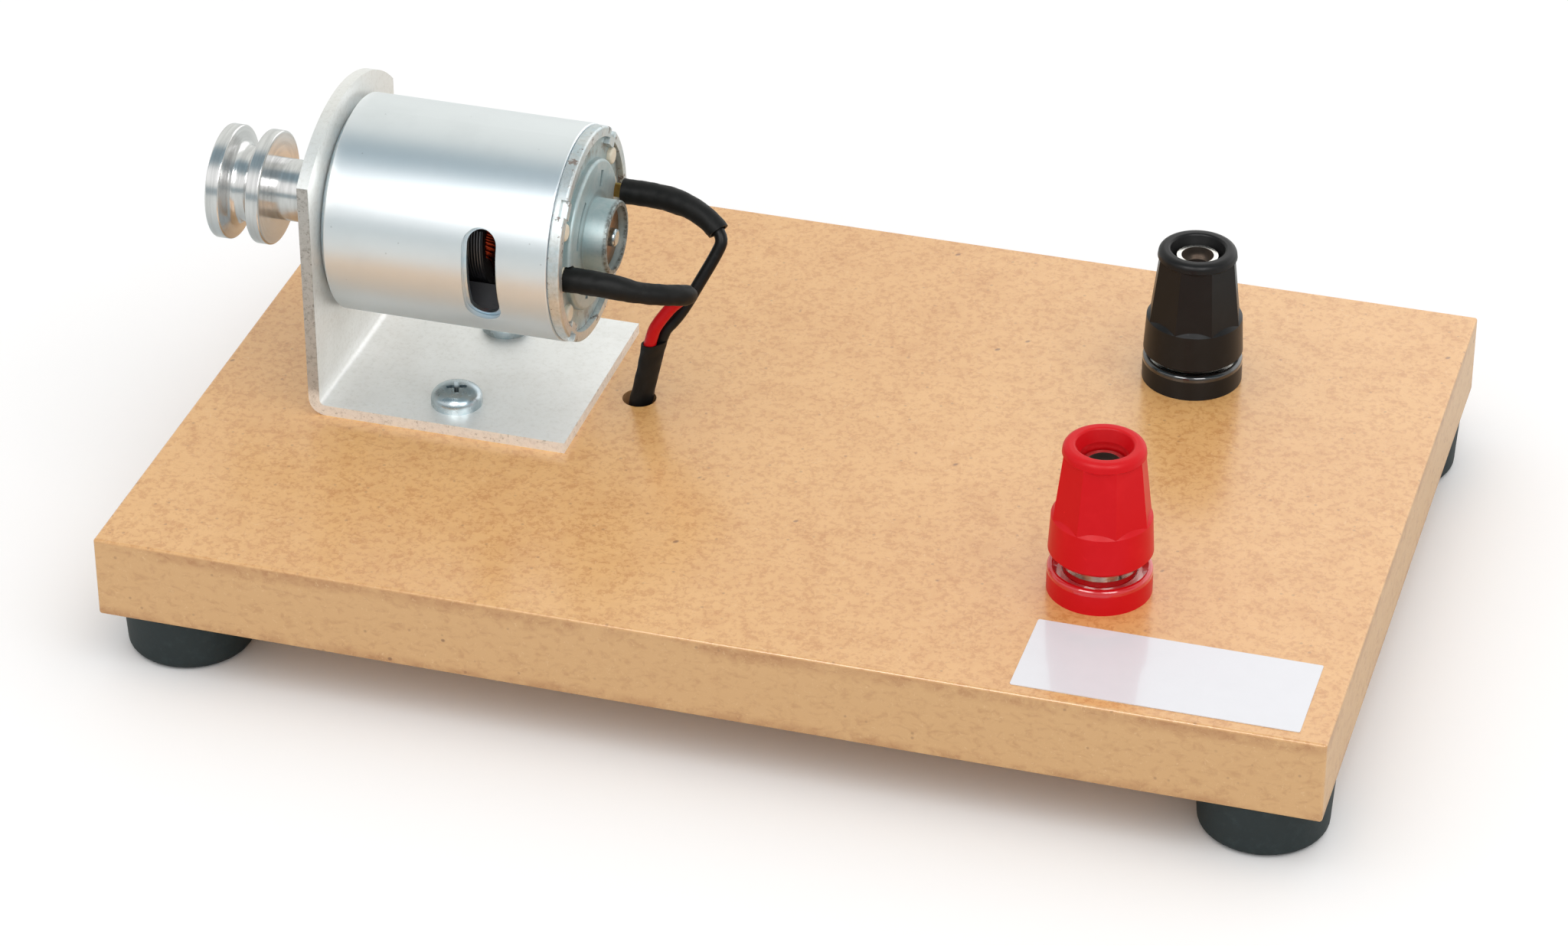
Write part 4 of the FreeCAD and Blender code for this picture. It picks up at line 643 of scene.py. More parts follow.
def shrunk_plastic(colour):
    """Matte shrunk skin with small bulges, rubbed pale in places."""
    finish = Finish("shrunk_plastic", colour, 0.52, specular_ior_level=0.16)
    bulge = finish.grain(460.0, 3.0, 0.6, 0.6)
    surface = finish.grain(2400.0, 3.0, 0.7)
    rubbed = finish.grain(900.0, 3.0, 0.7).within(0.6, 0.72)
    return finish.wear(
        base_color=finish.blend(rubbed * 0.5 + bulge.within(0.4, 0.7) * 0.25, colour,
                                paler(colour, 1.7, 0.006)),
        roughness=0.44 + bulge * 0.12 + rubbed * 0.1,
        normal=finish.bump(bulge * 1.4 + surface * 0.35, 0.03 * MM, 0.7))


def sticker_film(colour):
    """Glossy film that ripples a little over the board."""
    finish = Finish("sticker_film", colour, 0.16, coat_weight=0.6, coat_roughness=0.06)
    paper = finish.grain(240.0, 4.0, 0.6)
    ripple = finish.grain(60.0, 2.0, 0.5)
    return finish.wear(
        base_color=finish.blend(paper.within(0.3, 0.8) * 0.3, colour, darker(colour, 0.93)),
        roughness=0.14 + paper * 0.08,
        normal=finish.bump(ripple + paper * 0.2, 0.03 * MM, 0.4))


def laminated(colour):
    """Edges of stacked sheets along the armature core."""
    finish = Finish("laminated", colour, 0.42, 1.0)
    x = finish.axes()[0]
    sheets = finish.maths("SINE", x * (2 * math.pi / (0.5 * MM)))
    grit = finish.grain(1500.0, 3.0, 0.7)
    return finish.wear(
        base_color=finish.blend(sheets.within(0.2, 1.0) * 0.5 + grit * 0.2, colour,
                                darker(colour, 0.4)),
        roughness=0.36 + grit * 0.16,
        normal=finish.bump(sheets + grit * 0.4, 0.03 * MM, 0.8))


# Shapes

def deselect_all():
    bpy.ops.object.select_all(action="DESELECT")


def select_only(piece):
    deselect_all()
    piece.select_set(True)
    bpy.context.view_layer.objects.active = piece


def added(operator, name, **settings):
    """Adds a primitive with an operator and returns it, selected alone."""
    deselect_all()
    operator(**settings)
    piece = bpy.context.object
    piece.name = name
    return piece


def apply_placing():
    """Works the active piece's place, turn and scale into its mesh."""
    bpy.ops.object.transform_apply(location=True, rotation=True, scale=True)


def new_mesh(name, points, faces):
    """Mesh object from points and faces, with its faces turned outwards."""
    mesh = bpy.data.meshes.new(name)
    mesh.from_pydata(points, [], faces)
    shape = bmesh.new()
    shape.from_mesh(mesh)
    bmesh.ops.recalc_face_normals(shape, faces=shape.faces)
    shape.to_mesh(mesh)
    shape.free()
    piece = bpy.data.objects.new(name, mesh)
    bpy.context.scene.collection.objects.link(piece)
    return piece


def smoothed(piece, angle=40.0):
    """Shades a piece smooth, apart from edges sharper than the angle."""
    select_only(piece)
    bpy.ops.object.shade_smooth_by_angle(angle=math.radians(angle))
    return piece


def settle(piece, body, finish, replaced=()):
    """Gives a new piece its finish, its body and the nodes it stands for."""
    assign(finish, piece)
    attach(piece, body)
    if replaced:
        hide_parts(*replaced)


def spline_points(route):
    """Points of the smooth line that a lead follows, from its route's control points."""
    curve = bpy.data.curves.new("line", "CURVE")
    curve.dimensions = "3D"
    spline = curve.splines.new("NURBS")
    spline.points.add(len(route) - 1)
    for point, place in zip(spline.points, route):
        point.co = (*place, 1.0)
    spline.order_u = 3
    spline.use_endpoint_u = True
    spline.resolution_u = LEAD_RESOLUTION
    holder = bpy.data.objects.new("line", curve)
    bpy.context.scene.collection.objects.link(holder)
    bpy.context.view_layer.update()
    mesh = bpy.data.meshes.new_from_object(holder)
    points = [vertex.co.copy() for vertex in mesh.vertices]
    bpy.data.objects.remove(holder)
    bpy.data.curves.remove(curve)
    bpy.data.meshes.remove(mesh)
    return points


def along(points, step):
    """The same line with points an even step apart."""
    line = [points[0]]
    left = step
    for before, after in zip(points, points[1:]):
        run = (after - before).length
        start = 0.0
        while run - start >= left:
            start += left
            line.append(before.lerp(after, start / run))
            left = step
        left -= run - start
    if (points[-1] - line[-1]).length > step * 0.3:
        line.append(points[-1])
    return line


def frames_along(line):
    """Two directions across the line at each of its points, without twist."""
    tangents = []
    for index in range(len(line)):
        before = line[max(index - 1, 0)]
        after = line[min(index + 1, len(line) - 1)]
        tangents.append((after - before).normalized())
    across = Vector((0, 1, 0))
    across = (across - tangents[0] * across.dot(tangents[0])).normalized()
    frames = [(across, tangents[0].cross(across))]
    for before, after in zip(tangents, tangents[1:]):
        turn = before.rotation_difference(after)
        across = turn @ frames[-1][0]
        across = (across - after * across.dot(after)).normalized()
        frames.append((across, after.cross(across)))
    return frames


def swept_rings(line, outline_at):
    """Rings of points along a line. outline_at(index, share) gives each ring's (across, up)."""
    rings = []
    frames = frames_along(line)
    for index, (point, (across, up)) in enumerate(zip(line, frames)):
        outline = outline_at(index, index / (len(line) - 1))
        rings.append([point + across * a + up * b for a, b in outline])
    return rings


def skin(rings, closed_ends=True):
    """Points and faces of the surface through rings of equally many points."""
    points = [point for ring in rings for point in ring]
    count = len(rings[0])
    faces = []
    for row in range(len(rings) - 1):
        for column in range(count):
            following = (column + 1) % count
            faces.append((row * count + column, row * count + following,
                          (row + 1) * count + following, (row + 1) * count + column))
    if closed_ends:
        faces.append(tuple(range(count)))
        faces.append(tuple(range((len(rings) - 1) * count, len(rings) * count)))
    return points, faces


def circle(radius, count):
    return [(radius * math.cos(2 * math.pi * i / count), radius * math.sin(2 * math.pi * i / count))
            for i in range(count)]


def between(stops, share):
    """Value at a share of the way, from (share, value) stops with smooth steps."""
    for (low, first), (high, second) in zip(stops, stops[1:]):
        if share <= high:
            part = min(max((share - low) / (high - low), 0.0), 1.0)
            part = part * part * (3 - 2 * part)
            return first + (second - first) * part
    return stops[-1][1]


# Leads: the control points of each route, in metres

RED_ROUTE = [
    (-0.0338, -0.01309, 0.05498), (-0.0306, -0.01309, 0.05498), (-0.0264, -0.01119, 0.05318),
    (-0.0222, -0.00819, 0.05178), (-0.0196, -0.00479, 0.05028), (-0.0202, -0.0006, 0.0479),
    (-0.0235, 0.0004, 0.0453), (-0.0262, -0.0009, 0.0416), (-0.02745, -0.00091, 0.039),
    (-0.03153, -0.00091, 0.02), (-0.03153, -0.00091, 0.0058), (-0.0232, -0.002, 0.0067),
    (-0.0092, -0.0055, 0.0085), (0.0128, -0.0165, 0.00865), (0.0308, -0.0288, 0.00865),
    (0.0414, -0.035, 0.0076), (0.0498, -0.035, 0.0076),
]
BLACK_ROUTE = [
    (-0.0338, 0.01309, 0.05842), (-0.0306, 0.01309, 0.05842), (-0.0268, 0.01239, 0.05832),
    (-0.0222, 0.01119, 0.05752), (-0.0172, 0.00919, 0.05462), (-0.0184, 0.0076, 0.0514),
    (-0.0208, 0.0052, 0.0467), (-0.0225, 0.0032, 0.0432), (-0.0243, 0.0021, 0.0404),
    (-0.02626, 0.00091, 0.0384), (-0.03022, 0.00091, 0.02), (-0.03022, 0.00091, 0.0073),
    (-0.0219, 0.0022, 0.0078), (-0.0082, 0.0057, 0.0086), (0.0138, 0.0165, 0.00865),
    (0.0318, 0.0288, 0.00865), (0.0414, 0.035, 0.0076), (0.0498, 0.035, 0.0076),
]
PAIR_TURN = math.radians(54.2)
LEAD_RESOLUTION = 24


def lead_line(colour):
    route = RED_ROUTE if colour == "red" else BLACK_ROUTE
    return [Vector(point) for point in spline_points(route)]


def sleeve_start(colour):
    """Where a terminal's sleeve begins, just behind the end bell."""
    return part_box(colour + "_terminal_sleeve")[0].x


def shrunk_sleeve(name, line, profile, wall, wrinkle, seed):
    """Sleeve shrunk on a line: profile gives its outer radius, and creases run across it."""
    count = 28
    fine = along(line, 0.35 * MM)

    def outer(index, share):
        radius = between(profile, share)
        ring = []
        for step in range(count):
            angle = 2 * math.pi * step / count
            spot = Vector((math.cos(angle) * 1.4, math.sin(angle) * 1.4, index * 0.24 + seed))
            crease = noise.noise(spot) + 0.5 * noise.noise(spot * 2.3)
            size = radius + wrinkle * crease
            ring.append((size * math.cos(angle), size * math.sin(angle)))
        return ring

    rings = swept_rings(fine, outer)
    frames = frames_along(fine)

    def lip(index, depth, radius):
        across, up = frames[index]
        centre = fine[index] + depth
        return [centre + across * a + up * b for a, b in circle(radius, count)]

    first = (fine[1] - fine[0]).normalized()
    last = (fine[-1] - fine[-2]).normalized()
    start_radius = profile[0][1] - wall
    end_radius = profile[-1][1] - wall
    rings.insert(0, lip(0, first * (0.02 * MM), start_radius))
    rings.insert(0, lip(0, first * (1.2 * MM), start_radius * 0.96))
    rings.append(lip(-1, last * (-0.02 * MM), end_radius))
    rings.append(lip(-1, last * (-1.2 * MM), end_radius * 0.97))
    points, faces = skin(rings)
    return smoothed(new_mesh(name, points, faces), 50.0)


# Operators

class MOTOR_OT_board(bpy.types.Operator):
    """Finishes the fibre board"""

    bl_idname = "motor.board"
    bl_label = "Board"

    def execute(self, context):
        assign(fibre_board(context.scene.motor_board), "baseboard")
        return {"FINISHED"}


class MOTOR_OT_feet(bpy.types.Operator):
    """Finishes the rubber feet"""

    bl_idname = "motor.feet"
    bl_label = "Feet"

    def execute(self, context):
        assign(rubber(context.scene.motor_moulded.rubber), "rubber_feet")
        return {"FINISHED"}


class MOTOR_OT_bracket(bpy.types.Operator):
    """Finishes the bent bracket"""

    bl_idname = "motor.bracket"
    bl_label = "Bracket"

    def execute(self, context):
        assign(rolled_aluminium(context.scene.motor_metals.aluminium), "motor_bracket")
        return {"FINISHED"}


class MOTOR_OT_fasteners(bpy.types.Operator):
    """Finishes the screws, washers, nuts and staples"""

    bl_idname = "motor.fasteners"
    bl_label = "Fasteners"

    def execute(self, context):
        colour = context.scene.motor_metals.screw_steel
        finish = plain_metal("screw_steel", colour, 0.27, (0.62, 0.72, 0.78), 0.5)
        assign(finish, "foot_washers", "foot_screws", "motor_mount_screws", "lead_staples",
               "red_lock_washer", "black_lock_washer", "red_nut", "black_nut", "grub_screw",
               "shaft")
        self.pan_heads(context)
        return {"FINISHED"}

    def pan_heads(self, context):
        """The two bracket screws: one is modelled, the other is its copy."""
        low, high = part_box("bracket_screws")
        middle = Vector(((low.x + high.x) / 2, (low.y + high.y) / 2, 0))
        reach = (high.y - low.y) / 2 - HEAD_RADIUS
        foot = high.z - HEAD_HEIGHT
        front = self.pan_head(Vector((middle.x, middle.y - reach, foot)), foot - low.z)
        select_only(front)
        bpy.ops.object.duplicate()
        rear = context.object
        rear.location.y += 2 * reach
        apply_placing()
        front.select_set(True)
        context.view_layer.objects.active = front
        bpy.ops.object.join()
        finish = screw_steel(context.scene.motor_metals.screw_steel, (middle.x, reach), high.z)
        settle(smoothed(front, 32.0), "stand", finish, ["bracket_screws"])

    def pan_head(self, place, depth):
        """Domed head standing on the given place, with a cross recess and a pointed shank."""
        piece = added(bpy.ops.mesh.primitive_cylinder_add, "bracket_pan_screws", vertices=56,
                      radius=HEAD_RADIUS, depth=HEAD_SIDE,
                      location=place + Vector((0, 0, HEAD_SIDE / 2)))
        apply_placing()
        bpy.ops.object.mode_set(mode="EDIT")
        self.choose(piece, 1)
        height, radius = 0.0, 1.0
        for step in range(1, DOME_STEPS + 1):
            turn = DOME_TURN * step / DOME_STEPS
            rise = (HEAD_HEIGHT - HEAD_SIDE) * math.sin(turn) / math.sin(DOME_TURN)
            reach = DOME_TOP + (1 - DOME_TOP) * math.cos(turn) ** 0.8
            self.extrude(rise - height, reach / radius, place)
            height, radius = rise, reach
        self.choose(piece, -1)
        bpy.ops.mesh.inset(thickness=HEAD_RADIUS - SHANK_RADIUS)
        self.extrude(POINT_LENGTH - depth, 1, place)
        self.extrude(-POINT_LENGTH, POINT_SHARE, place)
        bpy.ops.object.mode_set(mode="OBJECT")
        for turn in RECESS_TURNS:
            self.cut_wing(piece, place, math.radians(turn))
        return piece

    def extrude(self, rise, share, place):
        """Extrudes the selected faces upwards, then draws them in towards the screw's axis."""
        bpy.ops.mesh.extrude_region_move(TRANSFORM_OT_translate={"value": (0, 0, rise)})
        bpy.ops.transform.resize(value=(share, share, 1), center_override=place)

    def choose(self, piece, side):
        """Selects the flat faces at the top (side 1) or at the bottom (side -1) of a piece."""
        bpy.ops.object.mode_set(mode="OBJECT")
        ends = [face.center.z for face in piece.data.polygons]
        end = max(ends) if side > 0 else min(ends)
        bpy.ops.object.mode_set(mode="EDIT")
        bpy.ops.mesh.select_mode(type="FACE")
        bpy.ops.mesh.select_all(action="DESELECT")
        bpy.ops.object.mode_set(mode="OBJECT")
        for face in piece.data.polygons:
            face.select = abs(face.center.z - end) < 0.01 * MM and side * face.normal.z > 0.9
        bpy.ops.object.mode_set(mode="EDIT")

    def cut_wing(self, piece, place, turn):
        """Cuts one tapering bar of the cross recess."""
        wedge = added(bpy.ops.mesh.primitive_cube_add, "wedge", size=1.0, rotation=(0, 0, turn),
                      location=place + Vector((0, 0, HEAD_HEIGHT)))
        wedge.scale = RECESS_SIZE
        apply_placing()
        bpy.ops.object.mode_set(mode="EDIT")
        self.choose(wedge, -1)
        bpy.ops.transform.resize(value=(RECESS_FOOT, RECESS_FOOT, 1), center_override=place)
        bpy.ops.object.mode_set(mode="OBJECT")
        select_only(piece)
        cut = piece.modifiers.new("recess", "BOOLEAN")
        cut.operation = "DIFFERENCE"
        cut.solver = "EXACT"
        cut.object = wedge
        bpy.ops.object.modifier_apply(modifier=cut.name)
        select_only(wedge)
        bpy.ops.object.delete()


class MOTOR_OT_can(bpy.types.Operator):
    """Finishes the can and the steel ring round it"""

    bl_idname = "motor.can"
    bl_label = "Can and ring"

    def execute(self, context):
        metals = context.scene.motor_metals
        assign(plated_can(metals.plated_steel), "motor_can")
        assign(plated_ring(metals.plated_steel), "flux_ring")
        return {"FINISHED"}


class MOTOR_OT_end_bell(bpy.types.Operator):
    """Finishes the end bell, the bushes and the brush card"""

    bl_idname = "motor.end_bell"
    bl_label = "End bell"

    def execute(self, context):
        metals = context.scene.motor_metals
        plastics = context.scene.motor_moulded
        assign(zinc_cover(metals.cover_steel), "end_bell")
        assign(plain_metal("bronze", metals.bronze, 0.42, (0.5, 0.45, 0.4), 0.7, 2600.0),
               "front_bearing", "rear_bearing")
        assign(moulded("card", plastics.card, 0.5), "brush_card", "thrust_washers")
        brass = plain_metal("brass", metals.brass, 0.3, (0.7, 0.6, 0.45), 0.5)
        assign(brass, "terminals", "brush_arms", "rotor_spacer")
        return {"FINISHED"}


class MOTOR_OT_inside(bpy.types.Operator):
    """Finishes the magnets, core, commutator and brushes"""

    bl_idname = "motor.inside"
    bl_label = "Inside of the motor"

    def execute(self, context):
        metals = context.scene.motor_metals
        plastics = context.scene.motor_moulded
        assign(moulded("ferrite", plastics.ferrite, 0.7, relief=0.03), "magnets")
        assign(plain_metal("spring_steel", metals.spring_steel, 0.32), "magnet_spring")
        assign(laminated(metals.lamination), "armature_core")
        assign(plain_metal("commutator_copper", metals.copper, 0.3, (0.6, 0.5, 0.45), 0.5),
               "commutator_segments")
        assign(moulded("hub_phenolic", plastics.phenolic, 0.45), "commutator_hub")
        assign(moulded("carbon", plastics.carbon, 0.6, relief=0.02), "brushes")
        return {"FINISHED"}


class MOTOR_OT_windings(bpy.types.Operator):
    """Winds enamelled wire on the three poles"""

    bl_idname = "motor.windings"
    bl_label = "Windings"

    def execute(self, context):
        sizes = context.scene.motor_windings
        metals = context.scene.motor_metals
        finish = plain_metal("enamelled_wire", metals.enamel, 0.24, (0.55, 0.5, 0.45), 0.5)
        points, faces = [], []
        for pole in range(POLE_COUNT):
            turn = Matrix.Rotation(2 * math.pi * pole / POLE_COUNT + POLE_TURN, 3, "X")
            for ring_points, ring_faces in self.turns(sizes):
                base = len(points)
                points += [turn @ p + Vector((0, AXIS_Y, AXIS_Z)) for p in ring_points]
                faces += [tuple(base + i for i in face) for face in ring_faces]
        piece = smoothed(new_mesh("winding_wires", points, faces), 80.0)
        settle(piece, "rotor", finish, ["armature_windings"])
        return {"FINISHED"}

    def turns(self, sizes):
        """Closed rings of wire round one pole that points straight up."""
        shapes = []
        height = sizes.foot
        while height < sizes.reach:
            gap = sizes.web + 0.05 * MM + sizes.wire_radius
            while math.hypot(gap + sizes.wire_radius, height) < sizes.reach:
                if gap > sizes.web + 3.1 * MM - sizes.wire_radius:
                    break
                spread = gap - sizes.web
                shapes.append(self.ring_of_wire(gap, height, spread, sizes.wire_radius))
                gap += sizes.pitch
            height += sizes.pitch
        return shapes

    def ring_of_wire(self, gap, height, spread, radius):
        low = CORE_LOW.x - spread
        high = CORE_HIGH.x + spread
        corner = min(spread + 0.9 * MM, gap * 0.9)
        line = []
        for centre_x, centre_y, first in (
            (high - corner, gap - corner, 0), (low + corner, gap - corner, 90),
            (low + corner, corner - gap, 180), (high - corner, corner - gap, 270),
        ):
            for step in range(4):
                angle = math.radians(first + 30 * step)
                line.append(Vector((centre_x + corner * math.cos(angle),
                                    centre_y + corner * math.sin(angle), height)))
        rings = []
        for index, point in enumerate(line):
            ahead = (line[(index + 1) % len(line)] - line[index - 1]).normalized()
            side = ahead.cross(Vector((0, 0, 1)))
            rings.append([point + side * a + Vector((0, 0, b)) for a, b in circle(radius, 6)])
        points, faces = skin(rings + [rings[0]], closed_ends=False)
        count = len(rings) * 6
        return points[:count], [tuple(i % count for i in face) for face in faces]


class MOTOR_OT_pulley(bpy.types.Operator):
    """Finishes the turned pulley"""

    bl_idname = "motor.pulley"
    bl_label = "Pulley"

    def execute(self, context):
        colour = context.scene.motor_metals.turned_aluminium
        assign(turned_metal("turned_aluminium", colour, 0.2), "pulley")
        return {"FINISHED"}


class MOTOR_OT_posts(bpy.types.Operator):
    """Finishes the two terminal posts"""

    bl_idname = "motor.posts"
    bl_label = "Terminal posts"

    def execute(self, context):
        plastics = context.scene.motor_moulded
        low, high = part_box("red_stem")
        nickel = nickel_tube(context.scene.motor_metals.nickel,
                             ((low.x + high.x) / 2, abs(low.y + high.y) / 2))
        for colour, tint, gloss in (("red", plastics.red, 0.14), ("black", plastics.black, 0.24)):
            finish = post_moulding(colour + "_moulding", tint, gloss)
            assign(finish, colour + "_cap", colour + "_collar", colour + "_lower_insulator")
            assign(nickel, colour + "_stem", colour + "_cap_insert", colour + "_solder_tag")
        return {"FINISHED"}


class MOTOR_OT_leads(bpy.types.Operator):
    """Lays the red and the black lead"""

    bl_idname = "motor.leads"
    bl_label = "Leads"

    def execute(self, context):
        radius = context.scene.motor_leads.lead_radius
        plastics = context.scene.motor_moulded
        for colour, tint in (("red", plastics.red_wire), ("black", plastics.black_wire)):
            line = along(lead_line(colour), 0.6 * MM)
            rings = swept_rings(line, lambda index, share: circle(radius, 18))
            piece = smoothed(new_mesh(colour + "_lead_wire", *skin(rings)))
            finish = moulded(colour + "_insulation", tint, 0.34, grit=900.0, shine=0.18)
            settle(piece, "stand", finish, [colour + "_lead"])
        return {"FINISHED"}


class MOTOR_OT_sleeves(bpy.types.Operator):
    """Shrinks the sleeves over the terminals and over the pair of leads"""

    bl_idname = "motor.sleeves"
    bl_label = "Shrunk sleeves"

    RED_PROFILE = [(0.0, 2.25 * MM), (0.05, 2.2 * MM), (0.36, 2.15 * MM), (0.46, 1.98 * MM),
                   (0.56, 1.84 * MM), (0.8, 1.84 * MM), (0.93, 1.82 * MM), (1.0, 1.6 * MM)]
    BLACK_PROFILE = [(0.0, 2.3 * MM), (0.06, 2.22 * MM), (0.5, 2.22 * MM), (0.66, 2.04 * MM),
                     (0.86, 1.94 * MM), (1.0, 1.96 * MM)]

    def execute(self, context):
        sizes = context.scene.motor_leads
        finish = shrunk_plastic(context.scene.motor_moulded.sleeve)
        for colour, end, profile, seed in (
            ("red", 24.2 * MM, self.RED_PROFILE, 3.0),
            ("black", 19.5 * MM, self.BLACK_PROFILE, 11.0),
        ):
            line = self.covered(colour, end)
            name = colour + "_shrunk_sleeve"
            piece = shrunk_sleeve(name, line, profile, sizes.wall, sizes.wrinkle, seed)
            settle(piece, "stand", finish, [colour + "_terminal_sleeve"])
        settle(self.oval_sleeve(sizes), "stand", finish, ["lower_sleeve"])
        return {"FINISHED"}

    def covered(self, colour, end):
        """Stretch of a lead's line that its sleeve covers, from the end bell on."""
        line = lead_line(colour)
        start = Vector((sleeve_start(colour), line[0].y, line[0].z))
        kept = [start]
        run = 0.0
        for before, after in zip([start] + line, line):
            run += (after - before).length
            if run > end:
                break
            kept.append(after)
        return kept

    def oval_sleeve(self, sizes):
        """Oval sleeve over both leads, a little open at its top."""
        low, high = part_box("lower_sleeve")
        foot = low.z
        lean = 0.215
        middle = Vector(((low.x + high.x) / 2, (low.y + high.y) / 2, (low.z + high.z) / 2))
        top = BOARD_HIGH.z + sizes.lower_top
        count, rows = 32, 30
        pair = Vector((math.cos(PAIR_TURN), math.sin(PAIR_TURN), 0))
        across = Vector((-pair.y, pair.x, 0))
        flare = [(0.0, 0.98), (0.5, 0.97), (0.8, 1.0), (0.95, 1.07), (1.0, 1.1)]

        def ring(share, inset, crease):
            height = foot + (top - foot) * share
            centre = Vector((middle.x + lean * (height - middle.z), middle.y, height))
            size = between(flare, share)
            half_width = sizes.lower_width / 2 * size - inset
            reach = sizes.lower_length / 2 * (0.5 + 0.5 * size) - inset
            points = []
            for step in range(count):
                angle = 2 * math.pi * step / count
                side = math.copysign(abs(math.cos(angle)) ** 0.8, math.cos(angle)) * reach
                front = math.copysign(abs(math.sin(angle)) ** 0.9, math.sin(angle)) * half_width
                spot = Vector((side * 700, front * 700, height * 480))
                swell = 1 + crease * noise.noise(spot) / half_width
                points.append(centre + pair * side * swell + across * front * swell)
            return points

        rings = [ring(row / rows, 0.0, sizes.wrinkle) for row in range(rows + 1)]
        rings += [ring(1.0, sizes.wall * 0.7, 0.0)]
        rings += [ring(0.85, sizes.wall, 0.0), ring(0.0, sizes.wall, 0.0)]
        points, faces = skin(rings, closed_ends=False)
        last = (len(rings) - 1) * count
        faces += [(column, (column + 1) % count, last + (column + 1) % count, last + column)
                  for column in range(count)]
        return smoothed(new_mesh("oval_sleeve", points, faces), 50.0)


class MOTOR_OT_solder(bpy.types.Operator):
    """Sets the solder joints on the two tags under the board"""

    bl_idname = "motor.solder"
    bl_label = "Solder joints"

    def execute(self, context):
        colour = context.scene.motor_metals.solder
        finish = plain_metal("solder", colour, 0.3, (0.75, 0.75, 0.75), 0.5)
        for colour, route in (("red", RED_ROUTE), ("black", BLACK_ROUTE)):
            piece = self.joint(colour + "_solder_joint", Vector(route[-1]))
            settle(piece, "stand", finish)
        return {"FINISHED"}

    def joint(self, name, tip):
        """Drop of solder that swells at the tag's tip and runs out over it."""
        radius = 1.75 * MM
        piece = added(bpy.ops.mesh.primitive_uv_sphere_add, name, segments=28, ring_count=16,
                      radius=radius, location=tip)
        apply_placing()
        for vertex in piece.data.vertices:
            local = vertex.co - tip
            run = 1.35 + 0.5 * max(local.x, 0.0) / radius
            rise = 0.72 if local.z > 0 else 0.62
            swell = 1 + 0.07 * noise.noise(local * 900)
            vertex.co = tip + Vector((local.x * run, local.y * 1.05, local.z * rise)) * swell
        return smoothed(piece, 80.0)


class MOTOR_OT_label(bpy.types.Operator):
    """Lays the blank sticker on the board"""

    bl_idname = "motor.label"
    bl_label = "Sticker"

    def execute(self, context):
        sizes = context.scene.motor_label
        middle = (sizes.middle_x, sizes.middle_y, BOARD_HIGH.z + 0.01 * MM)
        piece = added(bpy.ops.mesh.primitive_plane_add, "sticker", size=1.0, location=middle)
        piece.scale = (sizes.length, sizes.width, 1.0)
        apply_placing()
        bpy.ops.object.mode_set(mode="EDIT")
        bpy.ops.mesh.select_all(action="SELECT")
        bpy.ops.mesh.bevel(affect="VERTICES", offset=sizes.corner, segments=4)
        bpy.ops.mesh.select_all(action="SELECT")
        bpy.ops.mesh.extrude_region_move(
            TRANSFORM_OT_translate={"value": (0, 0, sizes.thickness)})
        bpy.ops.mesh.select_all(action="SELECT")
        bpy.ops.mesh.normals_make_consistent(inside=False)
        bpy.ops.object.mode_set(mode="OBJECT")
        settle(piece, "stand", sticker_film(context.scene.motor_moulded.label))
        return {"FINISHED"}


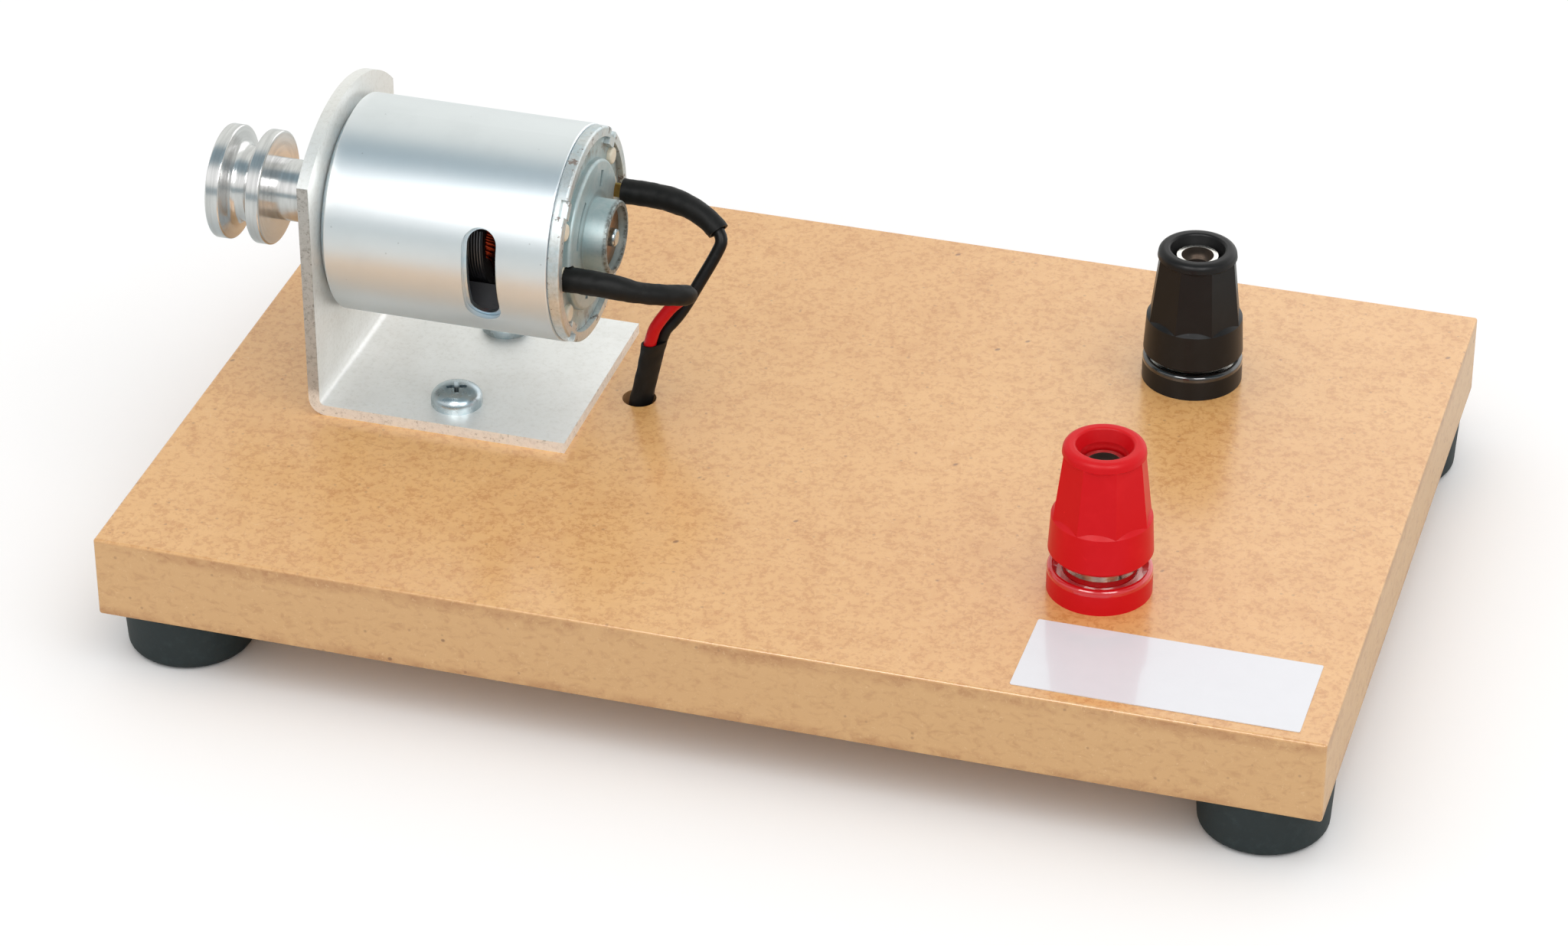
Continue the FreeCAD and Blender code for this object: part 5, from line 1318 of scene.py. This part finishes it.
class MOTOR_OT_stage(bpy.types.Operator):
    """Sets the floor, the lights and the camera"""

    bl_idname = "motor.stage"
    bl_label = "Stage"

    def execute(self, context):
        settings = context.scene.motor_stage
        context.scene.view_settings.view_transform = "Standard"
        self.floor(settings)
        self.room(settings)
        self.windows(settings)
        self.sky(context, settings)
        self.key_light(settings)
        self.camera(context, settings)
        return {"FINISHED"}

    def floor(self, settings):
        piece = added(bpy.ops.mesh.primitive_plane_add, "floor", size=FLOOR_SIZE,
                      location=(0, 0, -0.05 * MM))
        finish = Finish("floor", settings.floor_colour, 0.9, specular_ior_level=0.0)
        path = finish.node("ShaderNodeLightPath")
        colour = finish.blend(path.outputs["Is Glossy Ray"], settings.floor_colour,
                              settings.mirrored_floor)
        finish.wear(base_color=finish.blend(path.outputs["Is Camera Ray"], colour, WHITE))
        assign(finish, piece)

    def glowing(self, name, colour, strength=1.0):
        return Finish(name, (0, 0, 0), 1.0, specular_ior_level=0.0,
                      emission_color=(*colour, 1.0), emission_strength=strength)

    def mirrored_only(self, piece, finish):
        """Makes a piece of the stage show up in shiny surfaces alone."""
        piece.visible_camera = False
        piece.visible_diffuse = False
        piece.visible_shadow = False
        assign(finish, piece)

    def room(self, settings):
        """Round vault over the object: pale, with dark strips overhead and at eye level."""
        piece = added(bpy.ops.mesh.primitive_cylinder_add, "room", vertices=128,
                      radius=ROOM_RADIUS, depth=ROOM_LENGTH, end_fill_type="NOTHING",
                      location=(0, 0, AXIS_Z), rotation=(0, math.pi / 2, 0))
        apply_placing()
        finish = self.glowing("room", settings.wall)
        x, y, z = finish.axes()
        turn = finish.maths("ARCTAN2", 0.0 - y, z - AXIS_Z) * math.degrees(1)
        overhead = turn.within(-22, 4) * turn.within(46, 22)
        bright = turn.within(30, 44) * turn.within(78, 62)
        front = turn.within(73, 82) * turn.within(98, 88)
        behind = turn.within(-38, -48) * x.within(-0.32, 0.0)
        colour = finish.blend(bright, settings.wall, (1.06, 1.06, 1.06))
        colour = finish.blend(behind, colour, (1.65, 1.65, 1.65))
        colour = finish.blend(front, colour, settings.horizon)
        finish.wear(emission_color=finish.blend(overhead, colour, settings.ceiling))
        self.mirrored_only(piece, finish)

    def windows(self, settings):
        """Two bright windows in front, either side of the camera."""
        middle = Vector((0.06, 0, 0.03))
        finish = self.glowing("window", WHITE, settings.window)
        for name, side in WINDOW_TURNS.items():
            turn = math.radians(side)
            ahead = Vector((math.sin(turn) * 0.7, -math.cos(turn) * 0.7, 0.72))
            piece = added(bpy.ops.mesh.primitive_plane_add, name, size=1.0,
                          location=middle + ahead * WINDOW_DISTANCE,
                          rotation=ahead.to_track_quat("Z", "Y").to_euler())
            piece.scale = WINDOW_SIZE
            self.mirrored_only(piece, finish)

    def sky(self, context, settings):
        """Even white light, and a pure white background for the camera."""
        world = bpy.data.worlds.new("studio")
        context.scene.world = world
        world.use_nodes = True
        tree = world.node_tree
        tree.nodes.clear()
        path = tree.nodes.new("ShaderNodeLightPath")
        strength = tree.nodes.new("ShaderNodeMath")
        strength.operation = "MAXIMUM"
        tree.links.new(path.outputs["Is Camera Ray"], strength.inputs[0])
        strength.inputs[1].default_value = settings.sky
        background = tree.nodes.new("ShaderNodeBackground")
        tree.links.new(strength.outputs[0], background.inputs["Strength"])
        output = tree.nodes.new("ShaderNodeOutputWorld")
        tree.links.new(background.outputs[0], output.inputs["Surface"])
        background.inputs["Color"].default_value = (*WHITE, 1.0)

    def key_light(self, settings):
        """Large soft light from above, which shiny surfaces don't mirror."""
        light = bpy.data.lights.new("key", "AREA")
        light.energy = settings.key
        light.size = KEY_SIZE
        holder = bpy.data.objects.new("key", light)
        holder.visible_glossy = False
        holder.location = KEY_PLACE
        holder.rotation_euler = (KEY_TARGET - KEY_PLACE).to_track_quat("-Z", "Y").to_euler()
        bpy.context.scene.collection.objects.link(holder)

    def camera(self, context, settings):
        data = bpy.data.cameras.new("camera")
        data.lens = settings.lens
        data.sensor_width = 36.0
        data.clip_start = 0.01
        holder = bpy.data.objects.new("camera", data)
        holder.location = settings.camera_place
        holder.rotation_euler = settings.camera_turn
        context.scene.collection.objects.link(holder)
        context.scene.camera = holder


PIECES = (
    MOTOR_OT_board, MOTOR_OT_feet, MOTOR_OT_bracket, MOTOR_OT_fasteners, MOTOR_OT_can,
    MOTOR_OT_end_bell, MOTOR_OT_inside, MOTOR_OT_windings, MOTOR_OT_pulley, MOTOR_OT_posts,
    MOTOR_OT_leads, MOTOR_OT_sleeves, MOTOR_OT_solder, MOTOR_OT_label, MOTOR_OT_stage,
)
SETTINGS = {
    "motor_board": BoardLooks,
    "motor_metals": MetalLooks,
    "motor_moulded": MouldedLooks,
    "motor_label": LabelSizes,
    "motor_leads": LeadSizes,
    "motor_windings": WindingSizes,
    "motor_stage": StageSettings,
}


class MOTOR_PT_pieces(bpy.types.Panel):
    """Lists the motor's pieces"""

    bl_idname = "MOTOR_PT_pieces"
    bl_label = "Demonstration motor"
    bl_space_type = "VIEW_3D"
    bl_region_type = "UI"
    bl_category = "Motor"

    def draw(self, context):
        for piece in PIECES:
            self.layout.operator(piece.bl_idname)
        for name in SETTINGS:
            group = getattr(context.scene, name)
            box = self.layout.box()
            for key in group.bl_rna.properties.keys():
                if key not in ("rna_type", "name"):
                    box.prop(group, key)


def register():
    for name, group in SETTINGS.items():
        bpy.utils.register_class(group)
        setattr(bpy.types.Scene, name, PointerProperty(type=group))
    for piece in PIECES:
        bpy.utils.register_class(piece)
    bpy.utils.register_class(MOTOR_PT_pieces)


def unregister():
    bpy.utils.unregister_class(MOTOR_PT_pieces)
    for piece in reversed(PIECES):
        bpy.utils.unregister_class(piece)
    for name, group in reversed(SETTINGS.items()):
        delattr(bpy.types.Scene, name)
        bpy.utils.unregister_class(group)


def main():
    register()
    for piece in PIECES:
        group, name = piece.bl_idname.split(".")
        getattr(getattr(bpy.ops, group), name)()


if __name__ == "__main__":
    main()
